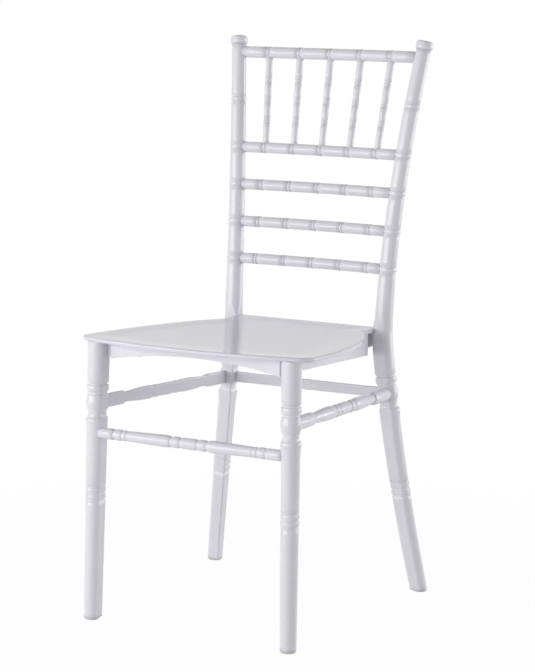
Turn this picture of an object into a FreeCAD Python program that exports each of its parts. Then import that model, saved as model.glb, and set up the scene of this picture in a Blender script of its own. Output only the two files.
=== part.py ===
"""Dining chair with turned legs, a spindled back and a thin curved seat panel.

Millimetres.  The front of the chair faces -Y, +Z is up and the origin lies on the floor
under the middle of the chair.  Pieces that come in pairs are drawn on the right (+X).
"""
import FreeCAD, Part

import math
import os

import Sketcher
from FreeCAD import Placement, Rotation, Vector

X_AXIS = Vector(1, 0, 0)
Y_AXIS = Vector(0, 1, 0)
Z_AXIS = Vector(0, 0, 1)

# Driving sizes: alias, value, meaning
SIZES = (
    ("overall_height", 915, "floor to the top of the finials"),
    ("finial_height", 16, "height of the cap on a back post"),
    ("finial_radius", 14.8, "widest part of the cap"),
    ("front_foot_spacing", 355, "between the axes of the front feet"),
    ("front_head_spacing", 345, "between the axes of the front legs at the seat"),
    ("front_foot_setback", -214.8, "front feet, from the middle of the chair"),
    ("front_head_setback", -206.8, "front legs at the seat"),
    ("rear_foot_spacing", 397, "between the axes of the rear feet"),
    ("rear_foot_setback", 211.2, "rear feet, from the middle of the chair"),
    ("waist_drop", 5.5, "seat's rear edge down to where the posts stand closest together"),
    ("waist_spacing", 283, "between the axes of the back posts at the waist"),
    ("waist_setback", 168.7, "back posts at the waist"),
    ("top_spacing", 349.6, "between the axes of the back posts at the top"),
    ("top_setback", 235.7, "back posts at the top"),
    ("foot_radius", 12.8, "turned bar at the foot"),
    ("head_radius", 15.6, "turned bar under the seat"),
    ("post_low_radius", 13.8, "back post above the seat"),
    ("post_taper_run", 100, "from the waist up to where that radius holds"),
    ("post_rounding_run", 22, "from the waist up to where a back post is round"),
    ("head_run", 30, "from the waist down to the thickest part of the bar"),
    ("post_top_radius", 12.1, "back post under the finial"),
    ("leg_flat_relief", 1.2, "inner flats of a leg, below its round"),
    ("leg_corner_radius", 2, "inner corner of a leg"),
    ("post_flat_relief", 0.15, "narrow inner flats of a back post, below its round"),
    ("post_corner_inset", 1, "centre of a back post's inner rounding, from its axis"),
    ("front_turning_drop", 106.5, "front of the seat down to the turned vase of a front leg"),
    ("rear_turning_drop", 108.3, "rear of the seat down to the turned vase of a rear leg"),
    ("front_bead_height", 205, "double bead on a front leg"),
    ("rear_bead_height", 179, "double bead on a rear leg"),
    ("seat_front", -248.8, "front edge of the seat in the middle"),
    ("seat_rear", 174.2, "rear edge of the seat"),
    ("seat_height", 456, "top of the seat at its front edge"),
    ("seat_drop", 10.5, "fall of the seat from its front edge to its rear edge"),
    ("seat_thickness", 6.5, "seat panel"),
    ("seat_edge_radius", 2.4, "rolled upper edge of the seat"),
    ("seat_corner_half", 205, "half the width at the front corners"),
    ("seat_corner_setback", -210.8, "front corners of the seat"),
    ("seat_corner_radius", 26, "rounding of the front corners"),
    ("seat_waist_half", 180, "half the width behind the middle"),
    ("seat_waist_setback", 4.2, "where that width is taken"),
    ("seat_side_bulge", 7.3, "outward bow of the side edges"),
    ("seat_tail_bulge", 6, "outward bow of the edges towards the tongue"),
    ("seat_tongue_half", 131, "half the width of the tongue between the posts"),
    ("seat_tongue_start", 111.2, "where the tongue begins"),
    ("apron_thickness", 12, "panels of the apron frame"),
    ("apron_tongue", 6, "thickness of an apron's tongue"),
    ("apron_slot", 8, "shadow slot between an apron and a leg"),
    ("apron_depth", 26.5, "front and rear aprons at their ends"),
    ("apron_arch", 14.5, "rise of the arch in these aprons"),
    ("front_apron_setback", -198, "middle of the front apron"),
    ("side_apron_front_depth", 21, "side apron at its front end"),
    ("side_apron_front_half", 160.5, "outer face of a side apron at its front end"),
    ("side_apron_rear_half", 125, "outer face of a side apron at its rear end"),
    ("side_apron_rear_slot", 16, "recessed rear end of a side apron"),
    ("side_apron_rear_depth", 38, "side apron at its rear end"),
    ("rear_apron_setback", 164.2, "middle of the rear apron"),
    ("tongue_length", 8, "tongue inside a leg or post"),
    ("rail_radius", 9, "back rails"),
    ("crest_radius", 9.6, "crest rail"),
    ("rail_bow", 8.6, "how far the rails bow backwards"),
    ("crest_drop", 28.7, "top of the finials down to the axis of the crest rail"),
    ("spindle_span", 158.7, "between the axes of the crest rail and the upper rail"),
    ("rail_step", 62, "between the axes of the upper rail and the lower rails"),
    ("crest_pitch", 57.3, "between rings and spindles at the crest"),
    ("rail_pitch", 52.1, "between rings and spindles at the rails"),
    ("spindle_radius", 6.2, "spindle at its upper end"),
    ("spindle_low_radius", 5.5, "spindle at its lower end"),
    ("spindle_ring_pitch", 34, "between the rings of a spindle"),
    ("spindle_depth", 4, "how far a spindle sits in a rail"),
    ("tenon_radius", 5, "tenon of a rail or a stretcher"),
    ("tenon_length", 8, "tenon inside a leg or post"),
    ("crest_tenon_length", 6, "tenon of the crest rail, beside the spigot"),
    ("stretcher_radius", 9.7, "front stretcher at its thickest"),
    ("side_stretcher_radius", 10.8, "side stretcher at its thickest"),
    ("rear_stretcher_radius", 8.8, "rear stretcher"),
    ("stretcher_flat", 2.5, "flat inner face, behind the axis"),
    ("front_stretcher_forward", 3, "front stretcher, in front of the leg axes"),
    ("front_stretcher_height", 302.5, "axis of the front stretcher"),
    ("glide_thickness", 2.5, "glide below a foot"),
    ("glide_radius", 11.5, "flat face of a glide"),
    ("glide_stem_radius", 4, "stem of a glide"),
    ("glide_stem_length", 16, "stem of a glide"),
    ("spigot_radius", 4, "spigot of a finial"),
    ("spigot_length", 14, "spigot of a finial"),
    ("bracket_leg", 46, "corner bracket along an apron"),
    ("bracket_depth", 19, "height of a corner bracket"),
    ("bracket_wall", 4, "flanges and top plate of a bracket"),
    ("screw_radius", 2, "shank of a screw"),
    ("screw_head_radius", 4, "head of a screw"),
    ("screw_head_height", 2.4, "head of a screw"),
    ("screw_bite", 4.5, "how far a screw goes into the far piece"),
    ("screw_inset", 30, "apron screws, from the corner of the frame"),
    ("seat_screw_inset", 15, "seat screws, from the corner of the frame"),
    ("shoulder_gap", 0.1, "clearance at a shoulder"),
    ("socket_gap", 0.1, "clearance round a tenon, stem or screw"),
)

doc = FreeCAD.newDocument("chair")
sheet = doc.addObject("Spreadsheet::Sheet", "sizes")
for row, (alias, value, meaning) in enumerate(SIZES, start=1):
    sheet.set(f"A{row}", meaning)
    sheet.set(f"B{row}", str(value))
    sheet.setAlias(f"B{row}", alias)
doc.recompute()


def size(alias):
    """A driving size, read back from the sheet."""
    return float(sheet.get(alias))


# Shape helpers

NODES = []
TOUCH = 0.1  # places this close count as the same


def node(item, name):
    """A finished sub-part; its label is also the name of its file."""
    item.Label = name
    NODES.append(item)
    return item


def cut(base, tools, name):
    item = doc.addObject("Part::Cut", name)
    item.Base = base
    item.Tool = tools[0] if len(tools) == 1 else fuse(tools, name + "_tools")
    return item


def fuse(shapes, name):
    item = doc.addObject("Part::MultiFuse", name)
    item.Shapes = shapes
    return item


def mirrored(item, name):
    """The same piece on the left side."""
    twin = doc.addObject("Part::Mirroring", name)
    twin.Source = item
    twin.Normal = X_AXIS
    return twin


def rod(name, start, end, radius_expression):
    """Round bar from one point to another."""
    item = doc.addObject("Part::Cylinder", name)
    item.Height = (end - start).Length
    item.Placement = Placement(start, Rotation(Z_AXIS, end - start))
    item.setExpression("Radius", radius_expression)
    return item


def block(name, corner, lengths):
    """Upright box from its lowest corner."""
    item = doc.addObject("Part::Box", name)
    item.Length, item.Width, item.Height = lengths
    item.Placement = Placement(corner, Rotation())
    return item


def freeform(name, shape):
    """A piece whose lofted shape is worked out from the sheet by the functions below."""
    item = doc.addObject("Part::Feature", name)
    item.Shape = shape
    return item


def sketch_on(body, role, name):
    plane = next(item for item in body.Origin.OriginFeatures if item.Role == role)
    sketch = body.newObject("Sketcher::SketchObject", name)
    sketch.AttachmentSupport = [(plane, "")]
    sketch.MapMode = "FlatFace"
    return sketch


def resolve(value):
    """A coordinate is a number, or an alias of the sheet with or without a minus sign."""
    if not isinstance(value, str):
        return value
    return -size(value[1:]) if value.startswith("-") else size(value)


def outline(sketch, points, bulges=None):
    """Closed counter-clockwise outline; a bulge bows the side after a corner outwards."""
    bulges = bulges or {}
    corners = [Vector(resolve(x), resolve(y), 0) for x, y in points]
    ends = []
    for index, start in enumerate(corners):
        end = corners[(index + 1) % len(corners)]
        bulge = bulges.get(index, 0)
        ends.append((2, 1) if bulge < 0 else (1, 2))
        if not bulge:
            sketch.addGeometry(Part.LineSegment(start, end))
            continue
        half = (end - start) * 0.5
        outwards = Vector(half.y, -half.x, 0).normalize()
        sketch.addGeometry(Part.Arc(start, start + half + outwards * bulge, end))
        bow_radius = (half.Length ** 2 + bulge ** 2) / (2 * abs(bulge))
        sketch.addConstraint(Sketcher.Constraint("Radius", index, bow_radius))
    for index in range(len(corners)):
        following = (index + 1) % len(corners)
        sketch.addConstraint(Sketcher.Constraint(
            "Coincident", index, ends[index][1], following, ends[following][0]))
    for index, point in enumerate(points):
        for kind, value in zip(("DistanceX", "DistanceY"), point):
            key = sketch.addConstraint(
                Sketcher.Constraint(kind, -1, 1, index, ends[index][0], resolve(value)))
            if isinstance(value, str):
                sign = "-" if value.startswith("-") else ""
                sketch.setExpression(f"Constraints[{key}]", f"{sign}sizes.{value.lstrip('-')}")
    return sketch


def turned_body(name, profile):
    """Solid of revolution about its own Z; profile holds (radius, place) from low to high."""
    body = doc.addObject("PartDesign::Body", name)
    points = [(0, profile[0][1])] + list(profile) + [(0, profile[-1][1])]
    sketch = outline(sketch_on(body, "XZ_Plane", name + "_profile"), points)
    turning = body.newObject("PartDesign::Revolution", name + "_turning")
    turning.Profile = sketch
    turning.ReferenceAxis = (sketch, ["V_Axis"])
    turning.Angle = 360
    body.Tip = turning
    return body


def padded_body(name, role, points, length, bulges=None, midplane=False):
    """Body with one padded outline; length is a number or an alias of the sheet."""
    body = doc.addObject("PartDesign::Body", name)
    sketch = outline(sketch_on(body, role, name + "_outline"), points, bulges)
    pad(body, sketch, name + "_pad", length, midplane)
    return body


def pad(body, sketch, name, length, midplane=False):
    feature = body.newObject("PartDesign::Pad", name)
    feature.Profile = sketch
    feature.Length = resolve(length)
    if isinstance(length, str):
        feature.setExpression("Length", f"sizes.{length}")
    if midplane:
        feature.SideType = "Symmetric"
    body.Tip = feature
    return feature


# Axes of the legs and posts

FLARE_POWERS = (1.8, 1.45)
SPLAY_POWERS = (1.22, 1.75)
SECTION_STEP = 26
OVERRUN = 12  # spare length of a blank that a later cut takes away
LEG_HEAD = size("seat_height")
SEAT_REAR_HEIGHT = size("seat_height") - size("seat_drop")
WAIST = SEAT_REAR_HEIGHT - size("waist_drop")
FRONT_TURNING = size("seat_height") - size("front_turning_drop")
REAR_TURNING = SEAT_REAR_HEIGHT - size("rear_turning_drop")
CREST = size("overall_height") - size("crest_drop")
UPPER_RAIL = CREST - size("spindle_span")
LOWER_RAILS = [UPPER_RAIL - step * size("rail_step") for step in (1, 2, 3)]
SPINDLE_MIDDLE = (CREST + UPPER_RAIL) / 2


def front_leg_axis(height):
    """Straight right front leg."""
    share = height / LEG_HEAD
    foot = Vector(size("front_foot_spacing") / 2, size("front_foot_setback"), height)
    head = Vector(size("front_head_spacing") / 2, size("front_head_setback"), height)
    return foot + (head - foot) * share


def rear_post_axis(height):
    """Right rear bar: splayed below the waist, flared and raked back above it."""
    waist_x, waist_y = size("waist_spacing") / 2, size("waist_setback")
    if height < WAIST:
        share, powers = (WAIST - height) / WAIST, SPLAY_POWERS
        end_x, end_y = size("rear_foot_spacing") / 2, size("rear_foot_setback")
    else:
        share, powers = (height - WAIST) / (size("overall_height") - WAIST), FLARE_POWERS
        end_x, end_y = size("top_spacing") / 2, size("top_setback")
    return Vector(waist_x + (end_x - waist_x) * share ** powers[0],
                  waist_y + (end_y - waist_y) * share ** powers[1], height)


def direction(axis, place):
    return (axis(place + 1) - axis(place - 1)).normalize()


def section_frame(axis, place):
    """Placement whose Z follows the axis and whose X stays sideways."""
    tangent = direction(axis, place)
    sideways = (X_AXIS - tangent * X_AXIS.dot(tangent)).normalize()
    return Placement(axis(place), Rotation(sideways, tangent.cross(sideways), tangent, "ZXY"))


# Turned details: distance from the middle of the detail, change of radius

VASE = ((33, 0), (31, -1.9), (29, -1.9), (28, 0.2), (23.5, 1.0), (19, 0.2), (17.5, -1.8),
        (14.5, -1.8), (13, -0.6), (7, 0.9), (0, 1.6), (-6, 0.8), (-11, -0.8), (-15, -1.9),
        (-19, -2.0), (-22, -1.2), (-26, 1.4), (-29, 1.7), (-34, 0.9), (-48, 0))
DOUBLE_BEAD = ((12, 0), (11, -1.2), (10, -1.2), (9, 0.2), (5.5, 0.7), (2, 0.2), (1, -1.2),
               (-1, -1.2), (-2, 0.2), (-5.5, 0.7), (-9, 0.2), (-10, -1.2), (-11, -1.2), (-12, 0))
RING = ((4.4, 0), (3.9, -0.7), (3.1, -0.7), (2.5, 0.5), (0, 0.7), (-2.5, 0.5), (-3.1, -0.7),
        (-3.9, -0.7), (-4.4, 0))
FINE_RING = ((3.2, 0), (2.9, -1.0), (1.7, -1.0), (1.4, 0.3), (0, 0.5), (-1.4, 0.3),
             (-1.7, -1.0), (-2.9, -1.0), (-3.2, 0))


def blend(table, place):
    """Straight-line value in a table of (place, value) in rising order."""
    for (low, low_value), (high, high_value) in zip(table, table[1:]):
        if place <= high:
            share = max(0.0, (place - low) / (high - low))
            return low_value + (high_value - low_value) * share
    return table[-1][1]


def stations(plain, details, ends, spacing):
    """Places and radii along a bar: its details, and steps along the plain stretches."""
    low, high = ends
    marks = sorted((centre + step, change) for centre, detail in details for step, change in detail)
    marks = [(low, 0)] + [mark for mark in marks if low + 1 < mark[0] < high - 1] + [(high, 0)]
    filled = [marks[0]]
    for place, change in marks[1:]:
        last, last_change = filled[-1]
        steps = int((place - last) / spacing)
        if change == last_change == 0:
            filled += [(last + (place - last) * i / (steps + 1), 0) for i in range(1, steps + 1)]
        filled.append((place, change))
    return [(place, blend(plain, place) + change) for place, change in filled]


# Bars with two inner flats, square to each other: wide on a leg, narrow on a back post

ROUND_MIDDLE = -45  # degrees round the bar, opposite the corner between the flats
LEG_ROUND_HALF = 95  # from there to the edges beside a leg's flats
FLAT_EDGE = 3  # degrees of the edge beside a back post's flats
LEAST_FLAT = 1.5


def mix(first, second, share):
    return first + (second - first) * share


class Profile:
    """Plain radii of a leg or post, and its rounding: 0 where square, 1 where round."""

    def __init__(self, radii, rounding):
        self.radii = radii
        self.rounding = rounding

    def flat(self, height, change=0.0):
        """From the axis to the inner flats, which a ring crosses where the bar is round."""
        rounded = blend(self.rounding, height)
        relief = mix(size("leg_flat_relief"), size("post_flat_relief"), rounded)
        return blend(self.radii, height) + rounded * change - relief

    def section(self, frame, height, change, inward, grow=0.0):
        """Wire of the bar at a height; grow makes that of its clearance body."""
        flat = self.flat(height, change)
        rounded = blend(self.rounding, height)
        corner = mix(size("leg_corner_radius"), flat - size("post_corner_inset"), rounded)
        radius = blend(self.radii, height) + change
        return bar_section(frame, radius + grow, flat + grow, corner, rounded, inward)


def bar_section(frame, radius, flat, corner, rounded, inward):
    """Wire of a bar whose flats meet in a corner towards -X and the inward Y side."""
    def polar(degrees):
        angle = math.radians(degrees)
        return Vector(radius * math.cos(angle), radius * math.sin(angle) * inward, 0)

    reach = math.sqrt(max(radius ** 2 - flat ** 2, LEAST_FLAT ** 2))
    bend = corner * (1 - math.sqrt(0.5))
    flat_half = math.degrees(math.atan2(flat, reach)) - FLAT_EDGE - ROUND_MIDDLE
    round_half = mix(LEG_ROUND_HALF, flat_half, rounded)
    round_start, round_end = ROUND_MIDDLE + round_half, ROUND_MIDDLE - round_half
    side_start = Vector(-flat, -reach * inward, 0)
    side_end = Vector(-flat, (flat - corner) * inward, 0)
    corner_middle = Vector(-flat + bend, (flat - bend) * inward, 0)
    front_start = Vector(-flat + corner, flat * inward, 0)
    front_end = Vector(reach, flat * inward, 0)
    edges = (
        Part.LineSegment(side_start, side_end),
        Part.Arc(side_end, corner_middle, front_start),
        Part.LineSegment(front_start, front_end),
        Part.LineSegment(front_end, polar(round_start)),
        Part.Arc(polar(round_start), polar((round_start + ROUND_MIDDLE) / 2), polar(ROUND_MIDDLE)),
        Part.Arc(polar(ROUND_MIDDLE), polar((ROUND_MIDDLE + round_end) / 2), polar(round_end)),
        Part.LineSegment(polar(round_end), side_start),
    )
    wire = Part.Wire([edge.toShape() for edge in edges])
    wire.Placement = frame
    return wire


def lofted(wires):
    solid = Part.makeLoft(wires, True, True)
    if solid.Volume < 0:
        solid.reverse()
    return solid


def bar(axis, profile, details, ends, inward, grow=0.0):
    """Bar along an axis; grow makes the clearance body of the same bar."""
    wires = []
    for height, radius in stations(profile.radii, details, ends, SECTION_STEP):
        change = radius - blend(profile.radii, height)
        wires.append(profile.section(section_frame(axis, height), height, change, inward, grow))
    return lofted(wires)


LEG_PROFILE = Profile(((0, size("foot_radius")), (LEG_HEAD, size("head_radius"))),
                      ((0, 0), (LEG_HEAD, 0)))
POST_PROFILE = Profile(((0, size("foot_radius")), (WAIST - size("head_run"), size("head_radius")),
                        (WAIST + size("post_taper_run"), size("post_low_radius")),
                        (size("overall_height"), size("post_top_radius"))),
                       ((0, 0), (WAIST, 0), (WAIST + size("post_rounding_run"), 1)))
FRONT_DETAILS = [(FRONT_TURNING, VASE), (size("front_bead_height"), DOUBLE_BEAD)]
REAR_DETAILS = [(REAR_TURNING, VASE), (size("rear_bead_height"), DOUBLE_BEAD)]
REAR_DETAILS += [(WAIST, ((size("post_rounding_run"), 0), (0, 0)))]
REAR_DETAILS += [(height, RING) for height in [SPINDLE_MIDDLE, UPPER_RAIL] + LOWER_RAILS]
POST_TOP = size("overall_height") - size("finial_height")
FRONT_ENDS = (-OVERRUN, LEG_HEAD + OVERRUN)
REAR_ENDS = (-OVERRUN, POST_TOP)

SPACE_HALF = 24  # reach of a clearance body, above and below its height
SPACE_LAP = 2


def leg_space(name, height, half=SPACE_HALF):
    """Clearance body of the right front leg round a height."""
    ends = (height - half, height + half)
    details = [detail for detail in FRONT_DETAILS if abs(detail[0] - height) < 2 * half]
    shape = bar(front_leg_axis, LEG_PROFILE, details, ends, 1, size("shoulder_gap"))
    return freeform(name, shape)


def plain_post_space(name, height, half):
    """Clearance body of the right rear post that is smooth and clears a ring at that height."""
    crossed = [detail for centre, detail in REAR_DETAILS if abs(centre - height) < half]
    rise = max([0] + [change for detail in crossed for _, change in detail])
    wires = []
    for place in (height - half, min(height + half, POST_TOP)):
        frame = section_frame(rear_post_axis, place)
        wires.append(POST_PROFILE.section(frame, place, rise, -1, size("shoulder_gap")))
    return freeform(name, lofted(wires))


def post_space(name, height, half=SPACE_HALF):
    """Clearance body of the right rear post round a height."""
    ends = (height - half, min(height + half, POST_TOP))
    details = [detail for detail in REAR_DETAILS if abs(detail[0] - height) < 2 * half]
    shape = bar(rear_post_axis, POST_PROFILE, details, ends, -1, size("shoulder_gap"))
    return freeform(name, shape)


FRONT_SOCKETS = []
REAR_SOCKETS = []


# Seat panel: a curved slab cut to an outline

SEAT_RUN = size("seat_rear") - size("seat_front")
SEAT_CURVE = (SEAT_RUN ** 2 + size("seat_drop") ** 2) / (2 * size("seat_drop"))
SEAT_CURVE_RULE = (
    "((sizes.seat_rear - sizes.seat_front)^2 + sizes.seat_drop^2) / (2 * sizes.seat_drop)"
)
SEAT_SPREAD = 1.5 * size("seat_corner_half")


def seat_top(y):
    """Height of the seat's upper face over a line across the chair."""
    drop = math.sqrt(SEAT_CURVE ** 2 - (size("seat_rear") - y) ** 2)
    return SEAT_REAR_HEIGHT + SEAT_CURVE - drop


def seat_under(y):
    return seat_top(y) - size("seat_thickness")


def seat_roll(name, growth_rule):
    """Cylinder across the chair whose lowest part is a face of the seat."""
    low = Vector(-SEAT_SPREAD, size("seat_rear"), SEAT_REAR_HEIGHT + SEAT_CURVE)
    return rod(name, low, low + X_AXIS * 2 * SEAT_SPREAD, SEAT_CURVE_RULE + growth_rule)


seat_space = seat_roll("seat_space", " + sizes.seat_thickness + sizes.shoulder_gap")


def shape_seat():
    """Seat before its rim is rounded and its screw holes are made."""
    post_height = SEAT_REAR_HEIGHT - size("seat_thickness")
    post = rear_post_axis(post_height)
    widest = max(POST_PROFILE.flat(height) for height in (post_height, SEAT_REAR_HEIGHT))
    clear = widest + 2 * size("shoulder_gap")
    right = [
        ("seat_corner_half", "seat_corner_setback"),
        ("seat_waist_half", "seat_waist_setback"),
        ("seat_tongue_half", "seat_tongue_start"),
        ("seat_tongue_half", post.y - clear),
        (post.x - clear, post.y - clear),
        (post.x - clear, "seat_rear"),
    ]
    left = [("-" + x if isinstance(x, str) else -x, y) for x, y in reversed(right)]
    last = len(right + left) - 1
    side_bulge, tail_bulge = size("seat_side_bulge"), size("seat_tail_bulge")
    front_bow = size("seat_corner_setback") - size("seat_front")
    bulges = {0: side_bulge, 1: tail_bulge, last - 2: tail_bulge, last - 1: side_bulge, last: front_bow}
    board = padded_body("seat_board", "XY_Plane", right + left, "seat_height", bulges)
    doc.recompute()
    corner_y = size("seat_corner_setback")
    corners = []
    for number, edge in enumerate(board.Shape.Edges, start=1):
        upright = edge.BoundBox.ZLength > size("seat_height") / 2
        if upright and math.isclose(edge.CenterOfMass.y, corner_y, abs_tol=TOUCH):
            corners.append(f"Edge{number}")
    sides = board.Tip
    rounding = board.newObject("PartDesign::Fillet", "seat_corners")
    rounding.Base = (sides, corners)
    rounding.setExpression("Radius", "sizes.seat_corner_radius")
    board.Tip = rounding
    board.Placement = Placement(Z_AXIS * OVERRUN, Rotation())
    lower_roll = seat_roll("seat_lower_roll", " + sizes.seat_thickness")
    upper_roll = seat_roll("seat_upper_roll", "")
    slab = cut(lower_roll, [upper_roll], "seat_slab")
    panel = doc.addObject("Part::Common", "seat_blank")
    panel.Base = slab
    panel.Tool = board
    return panel


seat_blank = shape_seat()
SEAT_SOCKETS = []


# Apron frame under the seat

TONGUE_ROOT = 5  # part of a tongue inside its panel
TONGUE_LOW_SHOULDER, TONGUE_TOP_SHOULDER = 3, 4
END_LAP = 2  # where the two thicknesses of a side apron run into each other
SIDE_RUN_START = size("front_apron_setback") + size("apron_thickness") / 2


def side_apron_frame():
    """Placement at the front end of the right side apron, X along it and Y outwards."""
    start = Vector(size("side_apron_front_half"), SIDE_RUN_START, 0)
    end = Vector(size("side_apron_rear_half"), side_apron_end(), 0)
    along = (end - start).normalize()
    return Placement(start, Rotation(along, Z_AXIS.cross(along), Z_AXIS, "ZXY")), (end - start).Length


def side_apron_end():
    return size("rear_apron_setback") - size("apron_thickness") / 2


def cross_apron(name, axis, profile, setback, sockets):
    """Front or rear apron: an arched panel with a tongue at each end."""
    top = seat_under(setback)
    low = top - size("apron_depth")
    leg = axis((top + low) / 2)
    reach = leg.x - profile.flat(top) - size("apron_slot")
    points = [(-reach, low), (reach, low), (reach, top + OVERRUN), (-reach, top + OVERRUN)]
    panel = padded_body(name + "_panel", "XZ_Plane", points, "apron_thickness",
                        {0: -size("apron_arch")}, midplane=True)
    panel.Placement = Placement(Y_AXIS * setback, Rotation())
    tongue_run = TONGUE_ROOT + size("apron_slot") + size("tongue_length")
    tongue_width = size("apron_tongue")
    tongue_depth = size("apron_depth") - TONGUE_LOW_SHOULDER - TONGUE_TOP_SHOULDER
    start = Vector(reach - TONGUE_ROOT, setback - tongue_width / 2, low + TONGUE_LOW_SHOULDER)
    tongue = block(name + "_tongue", start, (tongue_run, tongue_width, tongue_depth))
    tongue.setExpression("Width", "sizes.apron_tongue")
    tongues = [tongue, mirrored(tongue, name + "_tongue_left")]
    gap = size("socket_gap")
    sockets.append(block(name + "_mortise", start - Vector(0, gap, gap),
                         (tongue_run + gap, tongue_width + 2 * gap, tongue_depth + 2 * gap)))
    return cut(fuse([panel] + tongues, name + "_blank"), [seat_space], name + "_shape")


def side_apron():
    """Straight panel whose thinner rear end is set back from its outer face."""
    frame, length = side_apron_frame()
    top = seat_top(size("seat_front"))
    front_low = seat_under(SIDE_RUN_START) - size("side_apron_front_depth")
    rear_low = seat_under(side_apron_end()) - size("side_apron_rear_depth")
    recess_low = front_low + (rear_low - front_low) * (length - size("side_apron_rear_slot")) / length
    recess = length - size("side_apron_rear_slot")
    spare = size("apron_thickness")
    main = [(-spare, front_low), (recess, recess_low), (recess, top), (-spare, top)]
    main_body = padded_body("side_apron_panel", "XZ_Plane", main, "apron_thickness")
    end = [(recess - END_LAP, recess_low + END_LAP), (length + spare, rear_low + END_LAP),
           (length + spare, top), (recess - END_LAP, top)]
    end_body = padded_body("side_apron_end", "XZ_Plane", end, "apron_tongue")
    inner_face = frame.multiply(Placement(Y_AXIS * size("apron_thickness"), Rotation()))
    main_body.Placement = inner_face
    end_body.Placement = inner_face
    leg = leg_space("front_leg_by_apron", front_low, 3 * SPACE_HALF)
    gap = size("shoulder_gap")
    room = Vector(2 * size("side_apron_front_half"), 2 * spare, 2 * size("seat_height"))
    front_trim = block("side_apron_front_trim", Vector(0, SIDE_RUN_START + gap - room.y, 0), room)
    rear_trim = block("side_apron_rear_trim", Vector(0, side_apron_end() - gap, 0), room)
    blank = fuse([main_body, end_body], "side_apron_blank")
    return cut(blank, [seat_space, leg, front_trim, rear_trim], "side_apron_shape")


front_apron = cross_apron("front_apron", front_leg_axis, LEG_PROFILE, size("front_apron_setback"),
                          FRONT_SOCKETS)
rear_apron = cross_apron("rear_apron", rear_post_axis, POST_PROFILE, size("rear_apron_setback"),
                         REAR_SOCKETS)
right_apron = side_apron()
APRON_HOLES = {"front_apron": [], "rear_apron": [], "side_apron": []}


# Tenons and the sockets they sit in

TENON_ROOT = 6  # part of a tenon inside its own piece
SPIGOT_ROOT = 4


def tenon(name, shoulder, towards, radius, length, sockets, root=TENON_ROOT):
    """Round tenon from a shoulder point into the next piece, and its socket."""
    along = (towards - shoulder).normalize()
    gap = size("socket_gap")
    sockets.append(rod(name + "_socket", shoulder - along, shoulder + along * (length + gap),
                       f"sizes.{radius} + sizes.socket_gap"))
    return rod(name, shoulder - along * root, shoulder + along * length, f"sizes.{radius}")


def flat_point(inside, outside, profile):
    """Where a line from a leg's axis towards another piece leaves the leg's inner flat."""
    along = (outside - inside).normalize()
    reach = profile.flat(inside.z) / max(abs(along.x), abs(along.y))
    return inside + along * reach


# Back rails

class RailLine:
    """Plan arc of a back rail between the post axes."""

    def __init__(self, height):
        end = rear_post_axis(height)
        bow = size("rail_bow")
        self.height = height
        self.half = end.x
        self.radius = (end.x ** 2 + bow ** 2) / (2 * bow)
        self.centre_y = end.y + bow - self.radius

    def point(self, x):
        return Vector(x, self.centre_y + math.sqrt(self.radius ** 2 - x ** 2), self.height)

    def frame(self, x):
        slope = math.degrees(math.asin(x / self.radius))
        turn = Rotation(Z_AXIS, -slope).multiply(Rotation(Y_AXIS, 90))
        return Placement(self.point(x), turn)


BACK_PLACES = (-2, -1, 0, 1, 2)


def rail_bar(line, radius, pitch):
    details = [(place * pitch, FINE_RING) for place in BACK_PLACES]
    plain = ((-line.half, radius), (line.half, radius))
    wires = []
    for x, section_radius in stations(plain, details, (-line.half, line.half), SECTION_STEP):
        circle = Part.Circle(Vector(), Z_AXIS, section_radius)
        wire = Part.Wire([circle.toShape()])
        wire.Placement = line.frame(x)
        wires.append(wire)
    return lofted(wires)


def back_rail(name, height, radius, pitch, holes, tenon_length):
    line = RailLine(height)
    blank = freeform(name + "_bar", rail_bar(line, radius, pitch))
    inside = line.point(line.half)
    shoulder = flat_point(inside, line.point(line.half - size("tenon_length")), POST_PROFILE)
    right = tenon(name + "_tenon", shoulder, inside, "tenon_radius", tenon_length, REAR_SOCKETS)
    ends = [right, mirrored(right, name + "_tenon_left")]
    post = plain_post_space(name + "_post", height, radius + SPACE_LAP)
    shaped = cut(blank, [post, mirrored(post, name + "_post_left")] + holes, name + "_between_posts")
    return node(fuse([shaped] + ends, name + "_piece"), name)


# Spindles between the crest rail and the upper rail

crest_line = RailLine(CREST)
upper_line = RailLine(UPPER_RAIL)
CREST_HOLES = []
UPPER_HOLES = []


def spindle(number, place):
    """Turned spindle whose ends sit in bores of the two rails."""
    name = f"spindle_{number}"
    low = upper_line.point(place * size("rail_pitch"))
    high = crest_line.point(place * size("crest_pitch"))
    along = (high - low).normalize()
    length = (high - low).Length
    depth = size("spindle_depth")
    ends = (size("rail_radius") - depth, length - size("crest_radius") + depth)
    plain = ((0, size("spindle_low_radius")), (length, size("spindle_radius")))
    middle = (SPINDLE_MIDDLE - low.z) / along.z
    rings = [(middle + step * size("spindle_ring_pitch"), FINE_RING) for step in (-1, 0, 1)]
    profile = [(radius, at) for at, radius in stations(plain, rings, ends, length)]
    turned = turned_body(name + "_turning", profile)
    turned.Placement = Placement(low, Rotation(Z_AXIS, along))
    node(turned, name)
    gap = size("socket_gap")
    foot = low + along * (ends[0] - gap)
    head = low + along * (ends[1] + gap)
    UPPER_HOLES.append(rod(name + "_foot_bore", foot, foot + along * 2 * size("rail_radius"),
                           "sizes.spindle_low_radius + 2 * sizes.socket_gap"))
    CREST_HOLES.append(rod(name + "_head_bore", head - along * 2 * size("crest_radius"), head,
                           "sizes.spindle_radius + sizes.socket_gap"))


for number, place in enumerate(BACK_PLACES, start=1):
    spindle(number, place)

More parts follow.
